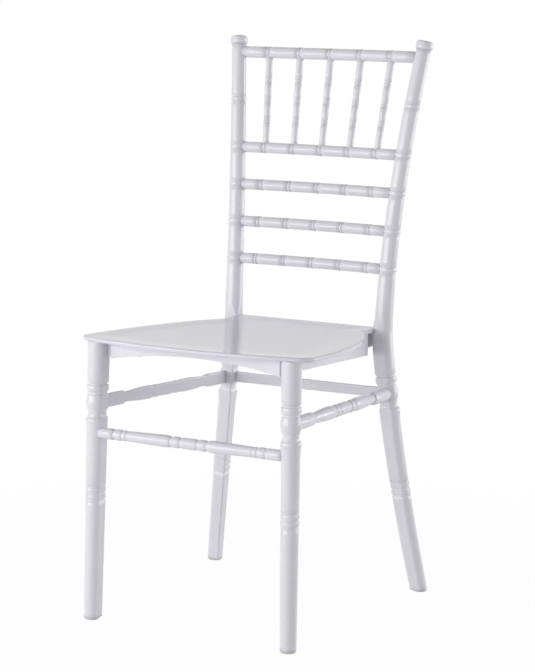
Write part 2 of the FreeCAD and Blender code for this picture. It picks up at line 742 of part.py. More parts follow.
back_rail("crest_rail", CREST, size("crest_radius"), size("crest_pitch"), CREST_HOLES,
          size("crest_tenon_length"))
back_rail("upper_back_rail", UPPER_RAIL, size("rail_radius"), size("rail_pitch"), UPPER_HOLES,
          size("tenon_length"))
for number, height in enumerate(LOWER_RAILS, start=1):
    back_rail(f"lower_back_rail_{number}", height, size("rail_radius"), size("rail_pitch"), [],
              size("tenon_length"))


# Stretchers: half patterns of (distance from the middle, below the thickest radius)

FRONT_PATTERN = ((0, 0.9), (10, 1.0), (14, 1.8), (14.5, 2.4), (16, 2.4), (17, 1.4), (22, 0.8),
                 (27, 0.8), (30, 1.4), (31, 2.1), (33, 2.1), (34, 1.1), (43, 0), (60, 0.3), (80, 0.8),
                 (100, 1.3), (111, 1.5), (112, 2.2), (113, 2.2), (114, 1.3), (119, 1.3), (120, 2.2),
                 (121.5, 2.2), (122.5, 1.3), (128, 0.7), (133.5, 1.3), (135, 2.1), (136.5, 2.1),
                 (137.5, 0.9))
SIDE_PATTERN = ((0, 0.6), (14, 0.8), (19, 1.6), (20, 2.2), (22, 2.2), (23, 1.2), (29, 0.4),
                (34.5, 1.2), (36, 2.0), (37.5, 2.0), (39, 1.0), (52, 0), (75, 0.4), (100, 1.9),
                (113, 2.5), (116, 2.5), (118, 0.6), (124, -0.2))
REAR_PATTERN = ((0, -0.5), (5, -0.3), (6, 0.8), (7, 0.8), (8, 0.1), (112, 0.1), (113, 0.8),
                (114, 0.8), (115, -0.3))
STRETCHER_SPARE = 5  # material beyond the thickest radius


def stretcher(name, start, end, radius, pattern, inward, spaces):
    """Turned bar between two leg axes with a flat face on its inward side."""
    middle = (start + end) * 0.5
    half = (end - start).Length / 2
    right = [(size(radius) - below, place) for place, below in pattern if place < half]
    right.append((right[-1][0], half))
    left = [(bar_radius, -place) for bar_radius, place in reversed(right) if place]
    turned = turned_body(name + "_turning", left + right)
    along = (end - start).normalize()
    upright = inward.cross(along).normalize()
    frame = Placement(middle, Rotation(along.cross(upright), upright, along, "ZXY"))
    turned.Placement = frame
    reach = size(radius) + STRETCHER_SPARE
    spare = block(name + "_spare", Vector(), (reach, 2 * reach, 2 * half))
    side = 1 if frame.Rotation.multVec(X_AXIS).dot(inward) > 0 else -1
    offset = size("stretcher_flat") if side > 0 else -size("stretcher_flat") - reach
    spare.Placement = frame.multiply(Placement(Vector(offset, -reach, -half), Rotation()))
    return cut(turned, [spare] + spaces, name + "_between_legs")


front_height = size("front_stretcher_height")
front_end = front_leg_axis(front_height) - Y_AXIS * size("front_stretcher_forward")
front_start = Vector(-front_end.x, front_end.y, front_end.z)
front_leg_by_stretcher = leg_space("front_leg_by_stretcher", front_height)
front_legs_by_stretcher = [front_leg_by_stretcher,
                           mirrored(front_leg_by_stretcher, "left_leg_by_stretcher")]
front_bar = stretcher("front_stretcher", front_start, front_end, "stretcher_radius", FRONT_PATTERN,
                      Y_AXIS, front_legs_by_stretcher)
front_shoulder = front_end - X_AXIS * LEG_PROFILE.flat(front_height)
front_tenon = tenon("front_stretcher_tenon", front_shoulder, front_end, "tenon_radius",
                    size("tenon_length"), FRONT_SOCKETS)
node(fuse([front_bar, front_tenon, mirrored(front_tenon, "front_stretcher_tenon_left")],
          "front_stretcher_piece"), "front_stretcher")

rear_end = rear_post_axis(REAR_TURNING)
rear_start = Vector(-rear_end.x, rear_end.y, rear_end.z)
rear_leg_by_stretcher = post_space("rear_leg_by_stretcher", rear_end.z)
rear_legs_by_stretcher = [rear_leg_by_stretcher,
                          mirrored(rear_leg_by_stretcher, "left_rear_leg_by_stretcher")]
rear_bar = stretcher("rear_stretcher", rear_start, rear_end, "rear_stretcher_radius", REAR_PATTERN,
                     -Y_AXIS, rear_legs_by_stretcher)
rear_shoulder = rear_end - X_AXIS * POST_PROFILE.flat(rear_end.z)
rear_tenon = tenon("rear_stretcher_tenon", rear_shoulder, rear_end, "tenon_radius",
                   size("tenon_length"), REAR_SOCKETS)
node(fuse([rear_bar, rear_tenon, mirrored(rear_tenon, "rear_stretcher_tenon_left")],
          "rear_stretcher_piece"), "rear_stretcher")

side_front = front_leg_axis(FRONT_TURNING)
side_rear = rear_post_axis(REAR_TURNING)
side_bar = stretcher("side_stretcher", side_front, side_rear, "side_stretcher_radius", SIDE_PATTERN,
                     -X_AXIS, [leg_space("front_leg_by_side", side_front.z), rear_leg_by_stretcher])
front_shoulder = flat_point(side_front, side_rear, LEG_PROFILE)
rear_shoulder = flat_point(side_rear, side_front, POST_PROFILE)
side_tenons = [
    tenon("side_stretcher_front_tenon", front_shoulder, side_front, "tenon_radius",
          size("tenon_length"), FRONT_SOCKETS),
    tenon("side_stretcher_rear_tenon", rear_shoulder, side_rear, "tenon_radius",
          size("tenon_length"), REAR_SOCKETS),
]
side_piece = fuse([side_bar] + side_tenons, "side_stretcher_piece")
node(side_piece, "side_stretcher_right")
node(mirrored(side_piece, "side_stretcher_twin"), "side_stretcher_left")


# Glides under the feet

GLIDE_EDGE = 0.6


def glide(name, foot, sockets):
    stem_top = size("glide_thickness") + size("glide_stem_length")
    face, stem = size("glide_radius"), size("glide_stem_radius")
    profile = (
        (face - GLIDE_EDGE, 0),
        (face, GLIDE_EDGE),
        (face, size("glide_thickness")),
        (stem, size("glide_thickness")),
        (stem, stem_top - GLIDE_EDGE),
        (stem - GLIDE_EDGE, stem_top),
    )
    piece = turned_body(name + "_turning", profile)
    base = Vector(foot.x, foot.y, 0)
    piece.Placement = Placement(base, Rotation())
    sockets.append(rod(name + "_socket", base, base + Z_AXIS * (stem_top + size("socket_gap")),
                       "sizes.glide_stem_radius + sizes.socket_gap"))
    node(piece, name + "_right")
    node(mirrored(piece, name + "_twin"), name + "_left")


glide("front_glide", front_leg_axis(0), FRONT_SOCKETS)
glide("rear_glide", rear_post_axis(0), REAR_SOCKETS)


# Finials: height above the post, radius below the widest

FINIAL_PROFILE = ((0, 2.4), (2, 0.6), (5, 0), (8, 0), (11.5, 0.3), (14, 1.8), (15.3, 3.2), (16, 4.6))


def finial():
    wires = []
    top_rise, top_below = FINIAL_PROFILE[-1]
    lean = direction(rear_post_axis, POST_TOP)
    raised_edge = (size("finial_radius") - top_below) * math.hypot(lean.x, lean.y)
    usable_height = size("finial_height") - size("shoulder_gap") - raised_edge
    for rise, below in FINIAL_PROFILE:
        place = POST_TOP + size("shoulder_gap") + usable_height * rise / top_rise
        radius = size("finial_radius") - below
        flat = radius - size("post_flat_relief")
        corner = flat - size("post_corner_inset")
        frame = section_frame(rear_post_axis, place)
        wires.append(bar_section(frame, radius, flat, corner, 1, -1))
    cap = freeform("finial_cap", lofted(wires))
    shoulder = rear_post_axis(POST_TOP)
    spigot = tenon("finial_spigot", shoulder, shoulder - lean, "spigot_radius", size("spigot_length"),
                   REAR_SOCKETS, SPIGOT_ROOT)
    piece = fuse([cap, spigot], "finial_piece")
    node(piece, "finial_right")
    node(mirrored(piece, "finial_twin"), "finial_left")


finial()


# Corner brackets under the seat and their screws

SCREW_GROUPS = {"bracket_screws": [], "seat_screws": []}
SCREW_HEAD = ((0.6, 1.0), (0.9, 0.7), (1.0, 0.3))  # shares of the head's radius and height
SCREW_TIP = 0.2  # share of the shank's radius
SCREW_LINE = 0.4  # screws through a flange, share of its height


def screw(name, under_head, along, length, holes, group):
    """Pan-head screw; the holes it passes through are cut a little wider."""
    head = size("screw_head_radius")
    shank = size("screw_radius")
    rise = size("screw_head_height")
    profile = [(head * width, -rise * height) for width, height in SCREW_HEAD]
    profile += [(head, 0), (shank, 0), (shank, length - shank), (shank * SCREW_TIP, length)]
    body = turned_body(name, profile)
    body.Placement = Placement(under_head, Rotation(Z_AXIS, along))
    SCREW_GROUPS[group].append(body)
    hole_end = under_head + along * (length + size("socket_gap"))
    shaft_hole = rod(name + "_hole", under_head - along, hole_end,
                     "sizes.screw_radius + sizes.socket_gap")
    for pieces in holes:
        pieces.append(shaft_hole)


def corner_bracket(name, corner, along_cross, along_side, cross_holes):
    """Angle bracket in a corner of the apron frame: two flanges and a top plate."""
    wall, leg = size("bracket_wall"), size("bracket_leg")
    sine = abs(along_cross.cross(along_side).z)
    inner = corner + (along_cross + along_side) * (wall / sine)
    off_cross = (along_side - along_cross * along_side.dot(along_cross)).normalize()
    off_side = (along_cross - along_side * along_side.dot(along_cross)).normalize()
    flange = [corner, corner + along_cross * leg, corner + along_cross * leg + off_cross * wall, inner,
              corner + along_side * leg + off_side * wall, corner + along_side * leg]
    plate = [corner, corner + along_cross * leg, corner + along_side * leg]
    if along_cross.cross(along_side).z < 0:
        flange.reverse()
        plate.reverse()
    low = min(seat_under(corner.y), seat_under(corner.y + along_side.y * leg)) - size("bracket_depth")
    plate_low = low + size("bracket_depth") - wall
    body = doc.addObject("PartDesign::Body", name + "_body")
    flange_sketch = outline(sketch_on(body, "XY_Plane", name + "_flanges"), [(p.x, p.y) for p in flange])
    plate_sketch = outline(sketch_on(body, "XY_Plane", name + "_plate"), [(p.x, p.y) for p in plate])
    plate_sketch.AttachmentOffset = Placement(Z_AXIS * (plate_low - low), Rotation())
    pad(body, flange_sketch, name + "_flange_pad", size("bracket_depth") + OVERRUN)
    pad(body, plate_sketch, name + "_plate_pad", wall + OVERRUN)
    body.Placement = Placement(Z_AXIS * low, Rotation())
    holes = []
    line_start = corner + Z_AXIS * (low + size("bracket_depth") * SCREW_LINE)
    length = wall + size("screw_bite")
    inset = size("screw_inset")
    cross_point = line_start + along_cross * inset + off_cross * wall
    side_point = line_start + along_side * inset + off_side * wall
    seat_point = corner + (along_cross + along_side) * size("seat_screw_inset") + Z_AXIS * plate_low
    screw(name + "_cross_screw", cross_point, -off_cross, length, [holes, cross_holes], "bracket_screws")
    screw(name + "_side_screw", side_point, -off_side, length, [holes, APRON_HOLES["side_apron"]],
          "bracket_screws")
    screw(name + "_seat_screw", seat_point, Z_AXIS, length, [holes, SEAT_SOCKETS], "seat_screws")
    piece = cut(body, [seat_space] + holes, name + "_shape")
    node(piece, name + "_right")
    node(mirrored(piece, name + "_twin"), name + "_left")


def side_inner_point(y):
    """Point of the right side apron's inner face at a distance y."""
    frame, _ = side_apron_frame()
    along = frame.Rotation.multVec(X_AXIS)
    start = frame.multVec(Y_AXIS * size("apron_thickness"))
    return start + along * ((y - start.y) / along.y), along


clear = size("shoulder_gap")
front_back_face = SIDE_RUN_START + clear
rear_front_face = side_apron_end() - clear
front_corner, side_along = side_inner_point(front_back_face)
rear_corner, _ = side_inner_point(rear_front_face)
inward_step = Vector(-clear, 0, 0)
corner_bracket("front_corner_bracket", front_corner + inward_step, -X_AXIS, side_along,
               APRON_HOLES["front_apron"])
corner_bracket("rear_corner_bracket", rear_corner + inward_step, -X_AXIS, -side_along,
               APRON_HOLES["rear_apron"])


def both_sides(items, name):
    """Shapes on the right side and their mirror images."""
    right = items[0] if len(items) == 1 else fuse(items, name + "_on_the_right")
    return [right, mirrored(right, name + "_on_the_left")]


for name, items in SCREW_GROUPS.items():
    node(fuse(both_sides(items, name), name + "_group"), name)


# Pieces that take the sockets collected above

front_apron_holes = both_sides(APRON_HOLES["front_apron"], "front_apron_holes")
node(cut(front_apron, front_apron_holes, "front_apron_piece"), "front_apron")
rear_apron_holes = both_sides(APRON_HOLES["rear_apron"], "rear_apron_holes")
node(cut(rear_apron, rear_apron_holes, "rear_apron_piece"), "rear_apron")
side_apron_piece = cut(right_apron, APRON_HOLES["side_apron"], "side_apron_piece")
node(side_apron_piece, "side_apron_right")
node(mirrored(side_apron_piece, "side_apron_twin"), "side_apron_left")

floor_spread = 2 * size("overall_height")
floor_space = block("floor_space", Vector(-floor_spread / 2, -floor_spread / 2, -4 * OVERRUN),
                    (floor_spread, floor_spread, 4 * OVERRUN + size("glide_thickness")))
front_leg_bar = bar(front_leg_axis, LEG_PROFILE, FRONT_DETAILS, FRONT_ENDS, 1)
rear_post_bar = bar(rear_post_axis, POST_PROFILE, REAR_DETAILS, REAR_ENDS, -1)
front_blank = freeform("front_leg_blank", front_leg_bar)
rear_blank = freeform("rear_post_blank", rear_post_bar)
front_leg = cut(front_blank, [seat_space, floor_space] + FRONT_SOCKETS, "front_leg_piece")
rear_post = cut(rear_blank, [floor_space] + REAR_SOCKETS, "rear_post_piece")
node(front_leg, "front_leg_right")
node(mirrored(front_leg, "front_leg_twin"), "front_leg_left")
node(rear_post, "rear_post_right")
node(mirrored(rear_post, "rear_post_twin"), "rear_post_left")

doc.recompute()
rolled_faces = [face for face in seat_blank.Shape.Faces if isinstance(face.Surface, Part.Cylinder)]
upper_face = max(rolled_faces, key=lambda face: (face.CenterOfMass.z, face.Area))
rim = [number for number, edge in enumerate(seat_blank.Shape.Edges, start=1)
       if any(edge.isSame(other) for other in upper_face.Edges)]
seat_rounded = doc.addObject("Part::Fillet", "seat_rounded")
seat_rounded.Base = seat_blank
seat_rounded.Edges = [(number, size("seat_edge_radius"), size("seat_edge_radius")) for number in rim]
seat_holes = both_sides(SEAT_SOCKETS, "seat_holes")
node(cut(seat_rounded, seat_holes, "seat_piece"), "seat_panel")

doc.recompute()
for item in doc.Objects:
    if "Invalid" in item.State or "Error" in item.State:
        raise RuntimeError(f"{item.Name} failed: {item.State}")
for item in NODES:
    if item.Shape.isNull() or not item.Shape.isValid():
        raise RuntimeError(f"{item.Label} has no valid shape")

os.makedirs("parts", exist_ok=True)
for item in NODES:
    item.Shape.exportStep(f"parts/{item.Label}.step")
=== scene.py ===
"""Looks of a white moulded dining chair with turned legs, a spindled back and a thin curved seat.

Places are in millimetres in the chair's own frame until they become a mesh, which is in metres.
The front of the chair faces -Y.  Paired pieces are made on the right (+X) and mirrored.
"""
import math

import bmesh
import bpy
from mathutils import Matrix, Vector, geometry, kdtree


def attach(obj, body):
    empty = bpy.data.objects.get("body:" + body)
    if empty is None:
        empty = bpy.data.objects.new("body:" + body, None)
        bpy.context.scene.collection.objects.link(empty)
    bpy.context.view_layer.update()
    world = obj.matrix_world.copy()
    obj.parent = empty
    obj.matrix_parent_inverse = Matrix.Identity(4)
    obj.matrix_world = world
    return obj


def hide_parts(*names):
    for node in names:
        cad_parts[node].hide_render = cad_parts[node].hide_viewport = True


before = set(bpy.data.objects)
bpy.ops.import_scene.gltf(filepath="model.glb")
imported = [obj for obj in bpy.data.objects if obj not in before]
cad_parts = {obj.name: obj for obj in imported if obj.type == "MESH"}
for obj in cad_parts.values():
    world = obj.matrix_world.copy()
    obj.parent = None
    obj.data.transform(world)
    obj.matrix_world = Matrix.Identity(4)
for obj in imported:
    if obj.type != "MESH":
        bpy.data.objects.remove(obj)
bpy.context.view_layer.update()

MM = 0.001
X_AXIS = Vector((1, 0, 0))
Y_AXIS = Vector((0, 1, 0))
Z_AXIS = Vector((0, 0, 1))

# Sizes of the chair, in millimetres
OVERALL_HEIGHT = 915
FINIAL_HEIGHT = 16
SEAT_HEIGHT = 456
SEAT_REAR_HEIGHT = 445.5
SEAT_THICKNESS = 6.5
SEAT_FRONT = -248.7
SEAT_REAR = 174.2
WAIST_HEIGHT = 440
FRONT_TURNING = 349.5
REAR_TURNING = 337.2
FRONT_BEAD_HEIGHT = 205
REAR_BEAD_HEIGHT = 179
GLIDE_THICKNESS = 2.5

FRONT_FOOT = Vector((177.5, -214.8, 0))
FRONT_HEAD = Vector((172.5, -206.8, SEAT_HEIGHT))
REAR_FOOT = (198.5, 211.2)
REAR_WAIST = (141.5, 168.7)
REAR_TOP = (174.8, 235.7)
FLARE_POWERS = (1.8, 1.45)
SPLAY_POWERS = (1.22, 1.75)

FOOT_RADIUS = 12.8
HEAD_RADIUS = 15.6
HEAD_RUN = 30
POST_LOW_RADIUS = 13.8
POST_LOW_HEIGHT = 540
ROUND_HEIGHT = 462
POST_TOP_RADIUS = 12.1
FINIAL_RADIUS = 14.6
LEG_FLAT_RELIEF = 1.2
POST_FLAT_RELIEF = 0.15
CORNER = 2

RAIL_RADIUS = 9
CREST_RADIUS = 9.6
RAIL_BOW = 8.6
TENON_RADIUS = 5
TENON_LENGTH = 6
CREST_HEIGHT = 886.3
UPPER_RAIL_HEIGHT = 727.6
LOWER_RAIL_HEIGHTS = (665.6, 603.6, 541.6)
CREST_PITCH = 57.3
RAIL_PITCH = 52.1
BACK_PLACES = (-2, -1, 0, 1, 2)
SPINDLE_TOP_RADIUS = 6.2
SPINDLE_FOOT_RADIUS = 5.5
SPINDLE_MIDDLE = (CREST_HEIGHT + UPPER_RAIL_HEIGHT) / 2
SPINDLE_RING_PITCH = 34

FRONT_STRETCHER_HEIGHT = 302.5
FRONT_STRETCHER_FORWARD = 3
STRETCHER_FLAT = 2.5
STRETCHER_END = 10
NO_FLAT = 1000

# Turned details: (distance from the middle of the detail, change of radius)
VASE = ((-48, 0), (-34, 0.9), (-29, 1.7), (-26, 1.4), (-22, -1.2), (-19, -2.0), (-15, -1.9),
        (-11, -0.8), (-6, 0.8), (0, 1.6), (7, 0.9), (13, -0.6), (14.5, -1.8), (17.5, -1.8),
        (19, 0.2), (23.5, 1.0), (28, 0.2), (29, -1.9), (31, -1.9), (33, 0))
DOUBLE_BEAD = ((-12, 0), (-11, -1.2), (-10, -1.2), (-9, 0.2), (-5.5, 0.7), (-2, 0.2), (-1, -1.2),
               (1, -1.2), (2, 0.2), (5.5, 0.7), (9, 0.2), (10, -1.2), (11, -1.2), (12, 0))
RING = ((-4.4, 0), (-3.9, -0.7), (-3.1, -0.7), (-2.5, 0.5), (0, 0.7), (2.5, 0.5), (3.1, -0.7),
        (3.9, -0.7), (4.4, 0))
FINE_RING = ((-3.2, 0), (-2.9, -1.0), (-1.7, -1.0), (-1.4, 0.3), (0, 0.5), (1.4, 0.3),
             (1.7, -1.0), (2.9, -1.0), (3.2, 0))
FINIAL_CAP = ((0, -2.4), (2, -0.6), (5, 0), (8, 0), (11.5, -0.3), (13.5, -1.5), (14.6, -3.2),
              (15.1, -5.5))
FINIAL_SHARE = 0.9

# Half patterns of the stretchers: (distance from the middle, radius)
FRONT_STRETCHER = ((0, 8.8), (10, 8.7), (14, 7.9), (14.5, 7.3), (16, 7.3), (17, 8.3), (22, 8.9), (27, 8.9),
                   (30, 8.3), (31, 7.6), (33, 7.6), (34, 8.6), (43, 9.7), (60, 9.4), (80, 8.9), (100, 8.4),
                   (111, 8.2), (112, 7.5), (113, 7.5), (114, 8.4), (119, 8.4), (120, 7.5), (121.5, 7.5),
                   (122.5, 8.4), (128, 9.0), (133.5, 8.4), (135, 7.6), (136.5, 7.6), (137.5, 8.8))
SIDE_STRETCHER = ((0, 10.2), (14, 10.0), (19, 9.2), (20, 8.6), (22, 8.6), (23, 9.6), (29, 10.4),
                  (34.5, 9.6), (36, 8.8), (37.5, 8.8), (39, 9.8), (52, 10.8), (75, 10.4), (100, 8.9),
                  (113, 8.3), (116, 8.3), (118, 10.2), (124, 11.0))
REAR_STRETCHER = ((0, 9.3), (5, 9.1), (6, 8.0), (7, 8.0), (8, 8.7), (112, 8.7), (113, 8.0), (114, 8.0),
                  (115, 9.1))


# Axes of the legs and posts

def front_leg_axis(height):
    return FRONT_FOOT.lerp(FRONT_HEAD, height / SEAT_HEIGHT)


def rear_post_axis(height):
    """Splayed below the waist, flared and raked back above it."""
    if height < WAIST_HEIGHT:
        share, powers, end = (WAIST_HEIGHT - height) / WAIST_HEIGHT, SPLAY_POWERS, REAR_FOOT
    else:
        share = (height - WAIST_HEIGHT) / (OVERALL_HEIGHT - WAIST_HEIGHT)
        powers, end = FLARE_POWERS, REAR_TOP
    x, y = (near + (far - near) * share ** power for near, far, power in zip(REAR_WAIST, end, powers))
    return Vector((x, y, height))


def seat_top(y):
    """Height of the seat's curved upper face."""
    run = SEAT_REAR - SEAT_FRONT
    return SEAT_REAR_HEIGHT + (SEAT_HEIGHT - SEAT_REAR_HEIGHT) * ((SEAT_REAR - y) / run) ** 2


# Profiles

FINE_STEP = 0.5
COARSE_STEP = 9


def curve_value(table, place):
    """Smooth value in a table of (place, value) that never overshoots its points."""
    if place <= table[0][0]:
        return table[0][1]
    if place >= table[-1][0]:
        return table[-1][1]
    slopes = [(b[1] - a[1]) / (b[0] - a[0]) for a, b in zip(table, table[1:])]
    index = next(i for i in range(len(slopes)) if place <= table[i + 1][0])

    def tangent(i):
        if i in (0, len(slopes)):
            return slopes[min(i, len(slopes) - 1)]
        before, after = slopes[i - 1], slopes[i]
        return 0 if before * after <= 0 else 2 * before * after / (before + after)

    (low, low_value), (high, high_value) = table[index], table[index + 1]
    run = high - low
    t = (place - low) / run
    return ((1 + 2 * t) * (1 - t) ** 2 * low_value + t * t * (3 - 2 * t) * high_value
            + run * t * (1 - t) * ((1 - t) * tangent(index) - t * tangent(index + 1)))


def blend(table, place):
    """Straight-line value in a table of (place, value)."""
    for (low, low_value), (high, high_value) in zip(table, table[1:]):
        if place <= high:
            return low_value + (high_value - low_value) * max(0, (place - low) / (high - low))
    return table[-1][1]


def places(details, low, high):
    """Places of the stations along a bar, close together in its details."""
    marks = {low, high}
    for centre, detail in details:
        span = detail[-1][0] - detail[0][0]
        steps = round(span / FINE_STEP)
        marks.update(centre + detail[0][0] + span * i / steps for i in range(steps + 1))
    marks = sorted(mark for mark in marks if low <= mark <= high)
    spread = []
    for a, b in zip(marks, marks[1:]):
        steps = max(1, round((b - a) / COARSE_STEP))
        spread += [a + (b - a) * i / steps for i in range(steps)]
    return spread + [marks[-1]]


def radius_at(plain, details, place):
    """Plain radius of a bar with the change of any turned detail at that place."""
    change = sum(curve_value(detail, place - centre) for centre, detail in details
                 if detail[0][0] <= place - centre <= detail[-1][0])
    return blend(plain, place) + change


# One turned bar: a grid of stations and sides, closed round its axis

BAR_SIDES = 64
STATION_VALUES = ("radius", "flat_across", "flat_inward", "corner", "square")
DIRECTIONS = ("across", "inward")
LEAST_COSINE = 0.001
INDEX_ROUNDING = 0.25
SEAM = 0.01
WELD = 0.005


def link_value(tree, socket, value):
    """Feeds a socket from another socket or with a constant."""
    if isinstance(value, bpy.types.NodeSocket):
        tree.links.new(value, socket)
    else:
        socket.default_value = value


def math_node(tree, operation, *values):
    node = tree.nodes.new("ShaderNodeMath")
    node.operation = operation
    for socket, value in zip(node.inputs, values):
        link_value(tree, socket, value)
    return node.outputs[0]


def vector_node(tree, operation, *values):
    node = tree.nodes.new("ShaderNodeVectorMath")
    node.operation = operation
    sockets = [node.inputs[0], node.inputs["Scale"]] if operation == "SCALE" else node.inputs
    for socket, value in zip(sockets, values):
        link_value(tree, socket, value)
    return node.outputs["Value" if operation == "LENGTH" else "Vector"]


def turned_bar_tree():
    """Surface of a bar from stations that carry its radius, flats and cross directions."""
    tree = bpy.data.node_groups.new("turned_bar", "GeometryNodeTree")
    face = tree.interface
    face.new_socket("Stations", in_out="INPUT", socket_type="NodeSocketGeometry")
    face.new_socket("Sides", in_out="INPUT", socket_type="NodeSocketInt").default_value = BAR_SIDES
    face.new_socket("Seam", in_out="INPUT", socket_type="NodeSocketFloat").default_value = SEAM * MM
    face.new_socket("Finish", in_out="INPUT", socket_type="NodeSocketMaterial")
    face.new_socket("Surface", in_out="OUTPUT", socket_type="NodeSocketGeometry")
    given = tree.nodes.new("NodeGroupInput")
    result = tree.nodes.new("NodeGroupOutput")
    stations, sides = given.outputs["Stations"], given.outputs["Sides"]

    count = tree.nodes.new("GeometryNodeAttributeDomainSize")
    tree.links.new(stations, count.inputs["Geometry"])
    rows = count.outputs["Point Count"]
    grid = tree.nodes.new("GeometryNodeMeshGrid")
    tree.links.new(math_node(tree, "ADD", sides, 1), grid.inputs["Vertices X"])
    tree.links.new(rows, grid.inputs["Vertices Y"])

    index = tree.nodes.new("GeometryNodeInputIndex").outputs[0]
    raised = math_node(tree, "ADD", index, INDEX_ROUNDING)
    column = math_node(tree, "FLOOR", math_node(tree, "DIVIDE", raised, rows))
    row = math_node(tree, "SUBTRACT", index, math_node(tree, "MULTIPLY", column, rows))

    def sampled(value, kind):
        sample = tree.nodes.new("GeometryNodeSampleIndex")
        sample.data_type = kind
        tree.links.new(stations, sample.inputs["Geometry"])
        tree.links.new(value, sample.inputs["Value"])
        tree.links.new(row, sample.inputs["Index"])
        return sample.outputs["Value"]

    def station(name, kind):
        attribute = tree.nodes.new("GeometryNodeInputNamedAttribute")
        attribute.data_type = kind
        attribute.inputs["Name"].default_value = name
        return sampled(attribute.outputs["Attribute"], kind)

    position = sampled(tree.nodes.new("GeometryNodeInputPosition").outputs[0], "FLOAT_VECTOR")
    across, inward = (station(name, "FLOAT_VECTOR") for name in DIRECTIONS)
    radius, flat_across, flat_inward, corner, square = (station(name, "FLOAT") for name in STATION_VALUES)

    angle = math_node(tree, "MULTIPLY", column, math_node(tree, "DIVIDE", math.tau, sides))
    cosine = math_node(tree, "COSINE", angle)
    sine = math_node(tree, "SINE", angle)
    facing_middle = math_node(tree, "MAXIMUM", math_node(tree, "MULTIPLY", cosine, -1), LEAST_COSINE)
    facing_inward = math_node(tree, "MAXIMUM", sine, LEAST_COSINE)
    to_flat_across = math_node(tree, "DIVIDE", flat_across, facing_middle)
    to_flat_inward = math_node(tree, "DIVIDE", flat_inward, facing_inward)
    to_flats = math_node(tree, "SMOOTH_MIN", to_flat_across, to_flat_inward, corner)
    in_corner = math_node(tree, "MULTIPLY", math_node(tree, "LESS_THAN", cosine, -LEAST_COSINE),
                          math_node(tree, "GREATER_THAN", sine, LEAST_COSINE))
    freed = math_node(tree, "MULTIPLY", in_corner, square)
    to_round = math_node(tree, "MULTIPLY", radius, math_node(tree, "ADD", freed, 1))
    reach = math_node(tree, "MINIMUM", to_flats, to_round)
    sideways = vector_node(tree, "SCALE", across, math_node(tree, "MULTIPLY", cosine, reach))
    towards = vector_node(tree, "SCALE", inward, math_node(tree, "MULTIPLY", sine, reach))
    place = vector_node(tree, "ADD", position, vector_node(tree, "ADD", sideways, towards))

    bend = tree.nodes.new("GeometryNodeSetPosition")
    tree.links.new(grid.outputs["Mesh"], bend.inputs["Geometry"])
    tree.links.new(place, bend.inputs["Position"])
    weld = tree.nodes.new("GeometryNodeMergeByDistance")
    tree.links.new(bend.outputs["Geometry"], weld.inputs["Geometry"])
    tree.links.new(given.outputs["Seam"], weld.inputs["Distance"])
    close_tree(tree, weld.outputs["Geometry"], given.outputs["Finish"], result.inputs["Surface"])
    return tree


def close_tree(tree, surface, finish, output):
    """Smooth shading, real geometry and the finish, as the last steps of a tree."""
    smooth = tree.nodes.new("GeometryNodeSetShadeSmooth")
    realize = tree.nodes.new("GeometryNodeRealizeInstances")
    paint = tree.nodes.new("GeometryNodeSetMaterial")
    tree.links.new(surface, smooth.inputs["Geometry"])
    tree.links.new(smooth.outputs["Geometry"], realize.inputs["Geometry"])
    tree.links.new(realize.outputs["Geometry"], paint.inputs["Geometry"])
    tree.links.new(finish, paint.inputs["Material"])
    tree.links.new(paint.outputs["Geometry"], output)


def run_tree(source, tree, name, values):
    """Runs a tree on a source object and returns the result as a plain object."""
    modifier = source.modifiers.new(name, "NODES")
    modifier.node_group = tree
    for item in tree.interface.items_tree:
        if item.in_out == "INPUT" and item.name in values:
            modifier[item.identifier] = values[item.name]
    graph = bpy.context.evaluated_depsgraph_get()
    mesh = bpy.data.meshes.new_from_object(source.evaluated_get(graph))
    mesh.name = name
    for attribute in [a for a in mesh.attributes if a.name in STATION_VALUES + DIRECTIONS]:
        mesh.attributes.remove(attribute)
    bpy.data.objects.remove(source)
    return finished_object(name, mesh)


def finished_object(name, mesh):
    """Object at the origin whose faces all point outwards."""
    work = bmesh.new()
    work.from_mesh(mesh)
    bmesh.ops.remove_doubles(work, verts=work.verts, dist=WELD * MM)
    bmesh.ops.recalc_face_normals(work, faces=work.faces)
    work.to_mesh(mesh)
    work.free()
    piece = bpy.data.objects.new(name, mesh)
    bpy.context.scene.collection.objects.link(piece)
    return piece


class Station:
    """One cross-section of a bar."""

    def __init__(self, place, across, inward, radius, flats=(NO_FLAT, NO_FLAT), corner=0, square=0):
        self.place = place
        self.across = across
        self.inward = inward
        self.values = (radius * MM, flats[0] * MM, flats[1] * MM, corner * MM, square)

    def cap(self):
        """The same place shrunk to its middle, which closes the bar."""
        return Station(self.place, self.across, self.inward, 0, (0, 0))


BAR_TREE = turned_bar_tree()


def turned_bar(name, stations, finish):
    closed = [stations[0].cap()] + stations + [stations[-1].cap()]
    mesh = bpy.data.meshes.new(name + "_stations")
    mesh.from_pydata([station.place * MM for station in closed], [], [])
    for index, value_name in enumerate(STATION_VALUES):
        attribute = mesh.attributes.new(value_name, "FLOAT", "POINT")
        attribute.data.foreach_set("value", [station.values[index] for station in closed])
    for direction in DIRECTIONS:
        attribute = mesh.attributes.new(direction, "FLOAT_VECTOR", "POINT")
        attribute.data.foreach_set(
            "vector", [part for station in closed for part in getattr(station, direction)])
    source = bpy.data.objects.new(name + "_source", mesh)
    bpy.context.scene.collection.objects.link(source)
    return run_tree(source, BAR_TREE, name, {"Sides": BAR_SIDES, "Finish": finish})


def settle(piece, slot, *nodes):
    """Fastens a finished piece to the chair in place of the solids it shows."""
    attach(piece, "root")
    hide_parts(*nodes)


